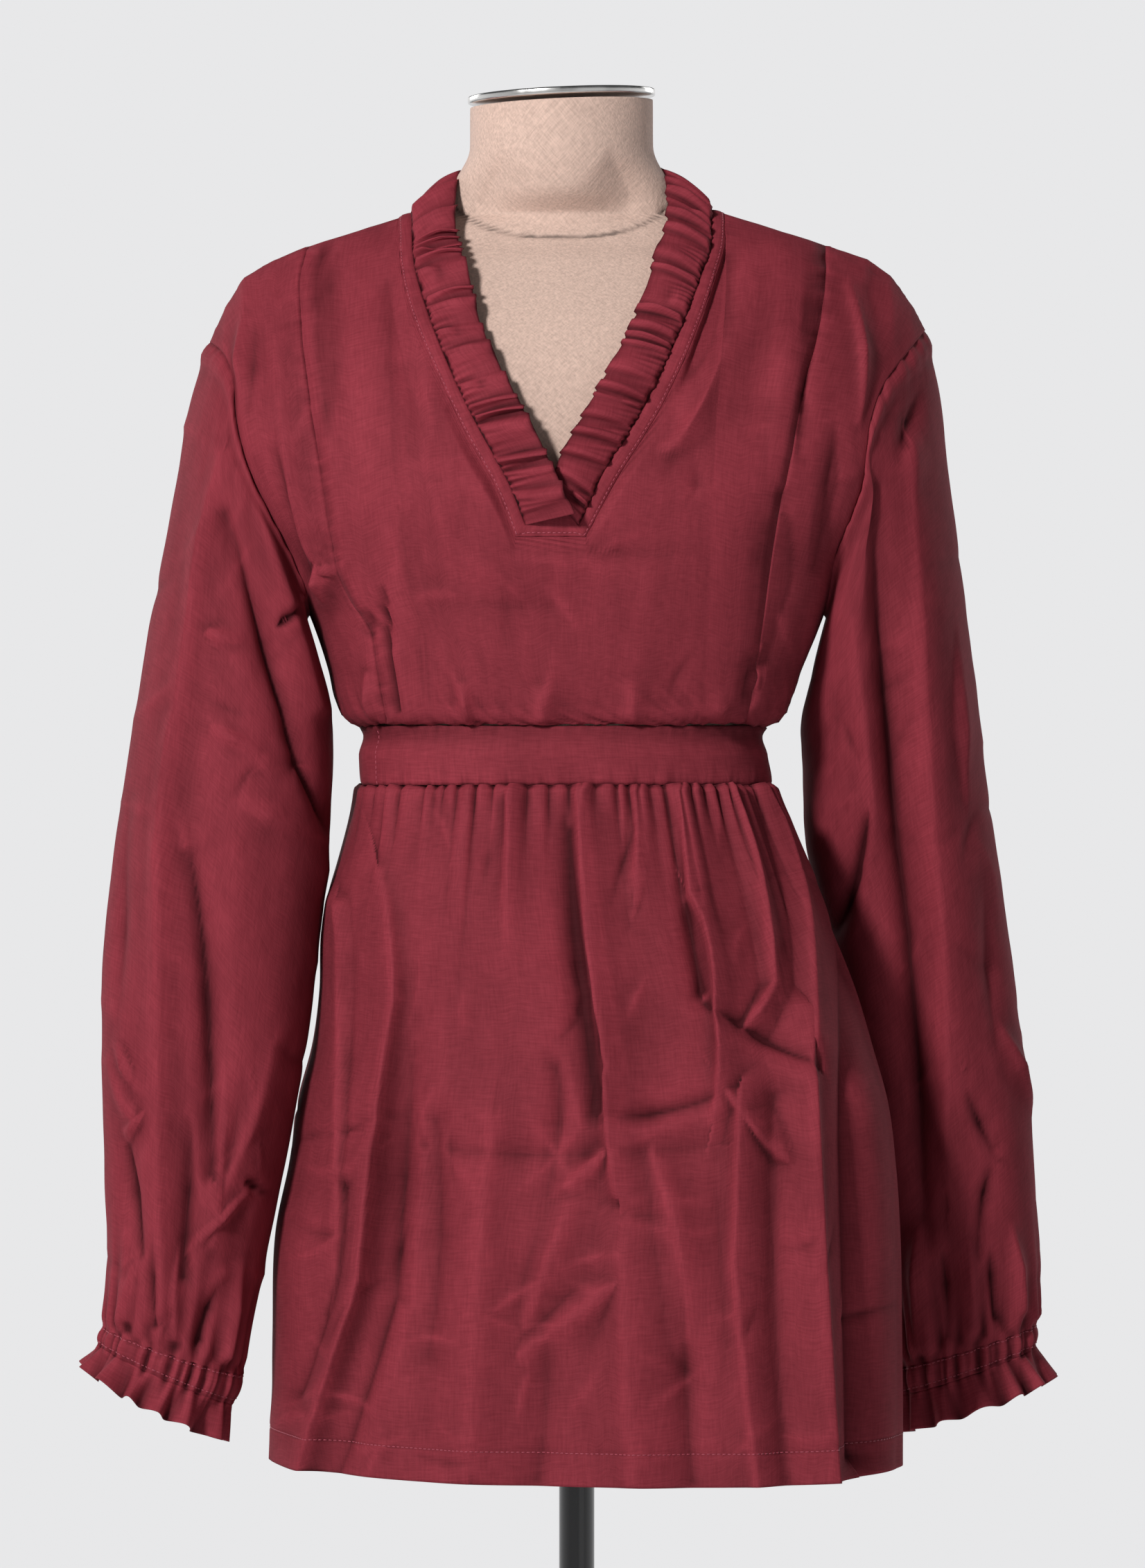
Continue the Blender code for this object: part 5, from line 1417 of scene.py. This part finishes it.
def thread_material(colour):
    """Twisted sewing thread, a lighter red than the cloth."""
    _, tree, shader = new_material("thread", colour, 0.45, Sheen_Weight=0.2, Specular_IOR_Level=0.4)
    place = node(tree, "ShaderNodeTexCoord").outputs["Object"]
    twist = speckle(tree, place, 2600.0, 2.0)
    tree.links.new(mixed(tree, scaled(colour, 0.6), colour, twist), shader.inputs["Base Color"])
    tree.links.new(bumped(tree, twist, 0.4, 0.0001), shader.inputs["Normal"])


def linen_material(colour):
    """Plain linen with a fine diagonal weave, uneven threads and painted shade where fold is set."""
    _, tree, shader = new_material("linen", colour, 0.85, Sheen_Weight=0.15)
    place = node(tree, "ShaderNodeTexCoord").outputs["Object"]
    heights = [speckle(tree, output(tree, "ShaderNodeMapping", {"Rotation": (0, angle, 0)}, Vector=place),
                       (900, 900, 90), 3.0, 0.6) for angle in (0.72, -0.72)]
    threads = combined(tree, "ADD", *heights)
    tone = mixed(tree, scaled(colour, 0.72), colour, ranged(tree, threads, (0.75, 1.25)))
    # painted shade: the linen darkens to about a third where the fold attribute is set
    fold_shaded = paint_fold_shade(tree, tone, (0.0, 0.30), (1.0, 0.35))
    tree.links.new(fold_shaded, shader.inputs["Base Color"])
    tree.links.new(bumped(tree, threads, 0.5, 0.0005), shader.inputs["Normal"])


def hard_material(name, colour, roughness, scale, depth, **extra):
    """Metal or paint with fine uneven marks."""
    made, tree, shader = new_material(name, colour, roughness, **extra)
    place = node(tree, "ShaderNodeTexCoord").outputs["Object"]
    marks = speckle(tree, place, scale, 4.0)
    rough = ranged(tree, marks, (0.3, 0.7), (roughness * 0.75, roughness * 1.3))
    tree.links.new(rough, shader.inputs["Roughness"])
    tree.links.new(mixed(tree, scaled(colour, 0.8), colour, marks), shader.inputs["Base Color"])
    tree.links.new(bumped(tree, marks, 0.2, depth), shader.inputs["Normal"])
    return made


def shared(name):
    """A material made by the materials operator."""
    found = bpy.data.materials.get(LOOK + name)
    if found is None:
        raise RuntimeError("run the materials operator first: no material named " + name)
    return found


# ------------------------------------------------------------------- settings
class BlouseSettings(bpy.types.PropertyGroup):
    """Sizes and colours of the blouse, the form and the stage."""

    cloth_thickness: bpy.props.FloatProperty(
        name="Cloth", description="Thickness of a single layer of cloth",
        default=0.0009, min=0.0004, max=0.003, unit="LENGTH", precision=4)
    band_thickness: bpy.props.FloatProperty(
        name="Bands", description="Thickness of the bands, which are doubled cloth",
        default=0.0013, min=0.0006, max=0.004, unit="LENGTH", precision=4)
    crease_strength: bpy.props.FloatProperty(
        name="Creases", description="How deep the creases are",
        default=1.0, min=0.0, max=2.0, subtype="FACTOR")
    gather_strength: bpy.props.FloatProperty(
        name="Gathers", description="How deep the gathers and the frills are",
        default=1.0, min=0.0, max=2.0, subtype="FACTOR")
    stitch_pitch: bpy.props.FloatProperty(
        name="Stitches", description="Length from one stitch to the next",
        default=0.003, min=0.0015, max=0.006, unit="LENGTH", precision=4)
    cloth_colour: bpy.props.FloatVectorProperty(
        name="Cloth colour", description="Colour of the lit threads",
        default=(0.236, 0.0312, 0.0445), min=0, max=1, subtype="COLOR")
    shade_colour: bpy.props.FloatVectorProperty(
        name="Cloth shade", description="Colour between the threads",
        default=(0.176, 0.0212, 0.0312), min=0, max=1, subtype="COLOR")
    thread_colour: bpy.props.FloatVectorProperty(
        name="Thread colour", description="Colour of the topstitching",
        default=(0.42, 0.050, 0.085), min=0, max=1, subtype="COLOR")
    linen_colour: bpy.props.FloatVectorProperty(
        name="Linen colour", description="Colour of the form's cover",
        default=(0.67, 0.473, 0.389), min=0, max=1, subtype="COLOR")
    metal_colour: bpy.props.FloatVectorProperty(
        name="Metal colour", description="Colour of the neck's cap",
        default=(0.80, 0.79, 0.77), min=0, max=1, subtype="COLOR")
    stand_colour: bpy.props.FloatVectorProperty(
        name="Stand colour", description="Colour of the pole and the base",
        default=(0.012, 0.012, 0.013), min=0, max=1, subtype="COLOR")
    backdrop_colour: bpy.props.FloatVectorProperty(
        name="Backdrop colour", description="Colour of the floor and the backdrop",
        default=(0.88, 0.88, 0.89), min=0, max=1, subtype="COLOR")
    backdrop_light: bpy.props.FloatProperty(
        name="Backdrop light", description="How brightly the backdrop glows",
        default=0.90, min=0.0, max=3.0, subtype="FACTOR")


# ------------------------------------------------------------------ operators
def closed(line):
    """A line that ends where it starts."""
    return np.append(line, line[:1], axis=0)


def sew(name, lines, settings):
    """A finished row of stitches along lines on the cloth."""
    return dress(stitch_row(name, lines, settings), shared("thread"))


def finish_hard(name, rounding, material, cad):
    """Name the active hard piece, round its edges and put it in the frame, untransformed."""
    piece = bpy.context.object
    piece.name = name
    bpy.ops.object.transform_apply(location=True, rotation=True, scale=True)
    bevel = piece.modifiers.new("rounded edge", "BEVEL")
    bevel.width, bevel.segments, bevel.limit_method = rounding, 4, "ANGLE"
    bpy.ops.object.modifier_apply(modifier=bevel.name)
    bpy.ops.object.shade_smooth_by_angle(angle=math.radians(40))
    dress(piece, shared(material), (cad,))


def sheet_from(name, shape, thickness, material, replaces, wrap=False):
    """A cloth piece with its thickness and its place in the frame."""
    outer, outward = shape
    piece = sheet_mesh(name, outer, outward, thickness, wrap)
    dress(piece, shared(material), replaces)
    return piece


class BLOUSE_OT_materials(bpy.types.Operator):
    """Make the cloth, thread, linen, metal and paint"""

    bl_idname = "blouse.materials"
    bl_label = "Materials"

    def execute(self, context):
        settings = context.scene.blouse_settings
        cloth, shade = settings.cloth_colour, settings.shade_colour
        for name, share in (("wine_cloth", 1.0), ("wine_band", 1.03), ("wine_frill", 1.04)):
            cloth_material(name, scaled(cloth, share), scaled(shade, share))
        thread_material(settings.thread_colour)
        linen_material(settings.linen_colour)
        hard_material("neck_metal", settings.metal_colour, 0.20, 160.0, 0.0001, Metallic=1.0)
        hard_material("pole_paint", settings.stand_colour, 0.16, 90.0, 0.00005, Coat_Weight=0.6)
        hard_material("base_paint", settings.stand_colour, 0.38, 420.0, 0.0002)
        return {"FINISHED"}


class BLOUSE_OT_bodice(bpy.types.Operator):
    """Make the front, side fronts and back of the bodice"""

    bl_idname = "blouse.bodice"
    bl_label = "Bodice"

    def execute(self, context):
        settings = context.scene.blouse_settings
        shapes = make_bodice_pieces(settings)
        cuts = (
            ("blouse_front", "front_centre", (0.36, 0.34), 0.074),
            ("blouse_side_left", "front_side_left", (0.12, 0.34), 0.024),
            ("blouse_side_right", "front_side_right", (0.12, 0.34), 0.024),
            ("blouse_back", "back_panel", (0.52, 0.36), 0.145),
        )
        for name, cad, flat, area in cuts:
            sheet_from(name, shapes[name], settings.cloth_thickness, "wine_cloth",
                       (cad,))
        return {"FINISHED"}


class BLOUSE_OT_sleeves(bpy.types.Operator):
    """Make the two sleeves"""

    bl_idname = "blouse.sleeves"
    bl_label = "Sleeves"

    def execute(self, context):
        settings = context.scene.blouse_settings
        for side in ("left", "right"):
            outer, outward = make_sleeve_piece(side, settings)
            piece = open_mesh("blouse_sleeve_" + side, outer, outward, settings.cloth_thickness, True)
            dress(piece, shared("wine_cloth"), ("sleeve_" + side,))
        return {"FINISHED"}


class BLOUSE_OT_cuffs(bpy.types.Operator):
    """Make the gathered casings, their stitching and the frills below them"""

    bl_idname = "blouse.cuffs"
    bl_label = "Cuffs"

    def execute(self, context):
        settings = context.scene.blouse_settings
        for side in ("left", "right"):
            shapes = make_cuff_pieces(side, settings)
            outer, outward = shapes["casing"]
            lines = [(closed(outer[level]), closed(outward[level])) for level in (1, -3)]
            stitches = sew("cuff_stitches_" + side, lines, settings)
            casing = sheet_mesh("blouse_casing_" + side, outer, outward,
                                settings.band_thickness, True)
            dress(casing, shared("wine_band"), ("cuff_casing_" + side,))
            sheet_from("blouse_cuff_frill_" + side, shapes["frill"], settings.cloth_thickness,
                       "wine_frill", ("cuff_frill_" + side,),
                       wrap=True)
        return {"FINISHED"}


class BLOUSE_OT_waistband(bpy.types.Operator):
    """Make the front and back of the waistband"""

    bl_idname = "blouse.waistband"
    bl_label = "Waistband"

    def execute(self, context):
        settings = context.scene.blouse_settings
        shapes = make_waistband_pieces()
        outer, outward = shapes["front"]
        end = int(np.argmin(np.abs(outer[8, :, 0] + 118 * MM)))
        sew("waistband_stitches", [(outer[:, end], outward[:, end])], settings)
        for name in ("front", "back"):
            sheet_from("blouse_waistband_" + name, shapes[name], settings.band_thickness,
                       "wine_band", ("waistband_" + name,))
        return {"FINISHED"}


class BLOUSE_OT_skirt(bpy.types.Operator):
    """Make the gathered front and back of the skirt part, with the hem's stitching"""

    bl_idname = "blouse.skirt"
    bl_label = "Skirt part"

    def execute(self, context):
        settings = context.scene.blouse_settings
        for name, face in (("front", -1), ("back", 1)):
            outer, outward = make_skirt_piece(face, settings)
            share = np.linspace(0, 1, outer.shape[0]) ** SKIRT_CROWDING
            row = int(np.abs(share - (1 - HEM_WIDTH / (WAIST_BOTTOM - HEM_Z))).argmin())
            line = (outer[row, 3:-3], outward[row, 3:-3])
            stitches = sew("hem_stitches_" + name, [line], settings)
            hem = outer.shape[0] - 1 - row + 2
            piece = open_mesh("blouse_skirt_" + name, outer, outward, settings.cloth_thickness,
                              hem=hem)
            dress(piece, shared("wine_cloth"), ("skirt_" + name,))
        return {"FINISHED"}


class BLOUSE_OT_neckline(bpy.types.Operator):
    """Make the neckline's band with its topstitching, and the frill"""

    bl_idname = "blouse.neckline"
    bl_label = "Neckline"

    def execute(self, context):
        settings = context.scene.blouse_settings
        outer, outward = make_neck_band_piece()
        line = (closed(outer[-3]), closed(outward[-3]))
        stitches = sew("neckline_stitches", [line], settings)
        band = sheet_mesh("blouse_neck_band", outer, outward, settings.band_thickness, True)
        dress(band, shared("wine_band"), ("neck_band",))
        sheet_from("blouse_neck_frill", make_ruffle_piece(settings), settings.cloth_thickness,
                   "wine_frill", ("neck_ruffle",))
        return {"FINISHED"}


class BLOUSE_OT_form(bpy.types.Operator):
    """Make the dress form's cover, its cap, the pole and the base"""

    bl_idname = "blouse.form"
    bl_label = "Dress form"

    def execute(self, context):
        form = make_form_piece()
        dress(form, shared("linen"), ("form_torso", "form_neck"))
        bpy.ops.object.select_all(action="DESELECT")
        bpy.ops.mesh.primitive_cylinder_add(
            vertices=128, radius=0.0555, depth=0.0042, location=(NECK_CENTRE, 0, 1.4942),
            rotation=(0, -NECK_TILT, 0))
        context.object.scale = (1.0, 0.84, 1.0)
        finish_hard("form_cap", 0.0011, "neck_metal", "neck_cap")
        bpy.ops.mesh.primitive_cylinder_add(
            vertices=96, radius=0.0105, depth=0.8497, location=(0, 0, 0.43695))
        finish_hard("form_pole", 0.0008, "pole_paint", "stand_pole")
        bpy.ops.mesh.primitive_cylinder_add(
            vertices=192, radius=0.18, depth=0.012, location=(0, 0, 0.006))
        finish_hard("form_base", 0.003, "base_paint", "stand_base")
        return {"FINISHED"}


CAMERA_PLACE = (-0.0025, -4.5, 1.0875)
CAMERA_LENS = 174.6             # mm, on a sensor of 36 mm
LIT_PLACE = (0, 0, 1.08)        # what the lamps are turned to
SKY_STRENGTH = 0.07
LAMPS = (                       # name, place, size in metres, watts
    ("key", (-1.8, -3.0, 2.8), 0.5, 146),
    ("fill", (2.4, -3.8, 1.3), 2.6, 4),
    ("back_left", (-2.6, 2.4, 2.4), 1.6, 26),
    ("back_right", (2.6, 2.4, 2.4), 1.6, 26),
)


class BLOUSE_OT_stage(bpy.types.Operator):
    """Set up the pale studio with its camera and soft lights"""

    bl_idname = "blouse.stage"
    bl_label = "Studio"

    def execute(self, context):
        settings = context.scene.blouse_settings
        scene = context.scene
        bpy.ops.object.select_all(action="DESELECT")
        bpy.ops.mesh.primitive_circle_add(vertices=128, radius=5.5, fill_type="NGON",
                                          location=(0, 0, -0.0005))
        floor = context.object
        floor.name = "floor"
        floor.data.materials.append(hard_material(
            "floor_paper", settings.backdrop_colour, 0.9, 30.0, 0.0003))
        bpy.ops.mesh.primitive_cylinder_add(vertices=96, radius=14, depth=6.4,
                                            end_fill_type="NOTHING", location=(0, 0, 1.0))
        backdrop = context.object
        backdrop.name = "backdrop"
        # the backdrop is no lit paper: it glows, at full strength behind the form and about half in
        # front, and its glow is part of the light on the form
        paper, tree, shader = new_material(
            "backdrop_glow", scaled(settings.backdrop_colour, 0.05), 0.9)
        shader.inputs["Emission Color"].default_value = (*settings.backdrop_colour, 1)
        place = node(tree, "ShaderNodeTexCoord").outputs["Object"]
        depth = node(tree, "ShaderNodeSeparateXYZ", Vector=place)
        light = ranged(tree, depth.outputs["Y"], (-10.0, 4.0),
                       (settings.backdrop_light * 0.48, settings.backdrop_light))
        tree.links.new(light, shader.inputs["Emission Strength"])
        backdrop.data.materials.append(paper)
        bpy.ops.object.camera_add(location=CAMERA_PLACE, rotation=(math.pi / 2, 0, 0))
        camera = context.object
        camera.data.sensor_width = 36
        camera.data.lens = CAMERA_LENS
        scene.camera = camera
        scene.view_settings.view_transform = "Standard"
        for name, place, size, power in LAMPS:
            bpy.ops.object.light_add(type="AREA", location=place)
            lamp = context.object
            lamp.name = name
            lamp.data.size = size
            lamp.data.energy = power
            aim = mathutils.Vector(LIT_PLACE) - mathutils.Vector(place)
            lamp.rotation_euler = aim.to_track_quat("-Z", "Y").to_euler()
        world = bpy.data.worlds.new("studio")
        scene.world = world
        world.use_nodes = True
        sky = world.node_tree.nodes["Background"]
        sky.inputs["Color"].default_value = (0.93, 0.95, 0.98, 1)
        sky.inputs["Strength"].default_value = SKY_STRENGTH
        return {"FINISHED"}


class BLOUSE_PT_panel(bpy.types.Panel):
    """All pieces of the blouse in the sidebar"""

    bl_label = "Blouse"
    bl_idname = "BLOUSE_PT_panel"
    bl_space_type = "VIEW_3D"
    bl_region_type = "UI"
    bl_category = "Blouse"

    def draw(self, context):
        for operator in OPERATORS:
            self.layout.operator(operator.bl_idname)
        for name in BlouseSettings.__annotations__:
            self.layout.prop(context.scene.blouse_settings, name)


OPERATORS = (
    BLOUSE_OT_materials, BLOUSE_OT_form, BLOUSE_OT_bodice, BLOUSE_OT_waistband,
    BLOUSE_OT_skirt, BLOUSE_OT_sleeves, BLOUSE_OT_cuffs, BLOUSE_OT_neckline, BLOUSE_OT_stage,
)
CLASSES = (BlouseSettings, *OPERATORS, BLOUSE_PT_panel)


def register():
    """Register the classes and the settings."""
    for one in CLASSES:
        bpy.utils.register_class(one)
    bpy.types.Scene.blouse_settings = bpy.props.PointerProperty(type=BlouseSettings)


def unregister():
    """Undo what register did."""
    del bpy.types.Scene.blouse_settings
    for one in reversed(CLASSES):
        bpy.utils.unregister_class(one)


def main():
    """Make every piece in order."""
    register()
    bpy.ops.object.select_all(action="DESELECT")
    for operator in OPERATORS:
        group, name = operator.bl_idname.split(".")
        if getattr(getattr(bpy.ops, group), name)() != {"FINISHED"}:
            raise RuntimeError("stopped at " + operator.bl_label)


if __name__ == "__main__":
    main()
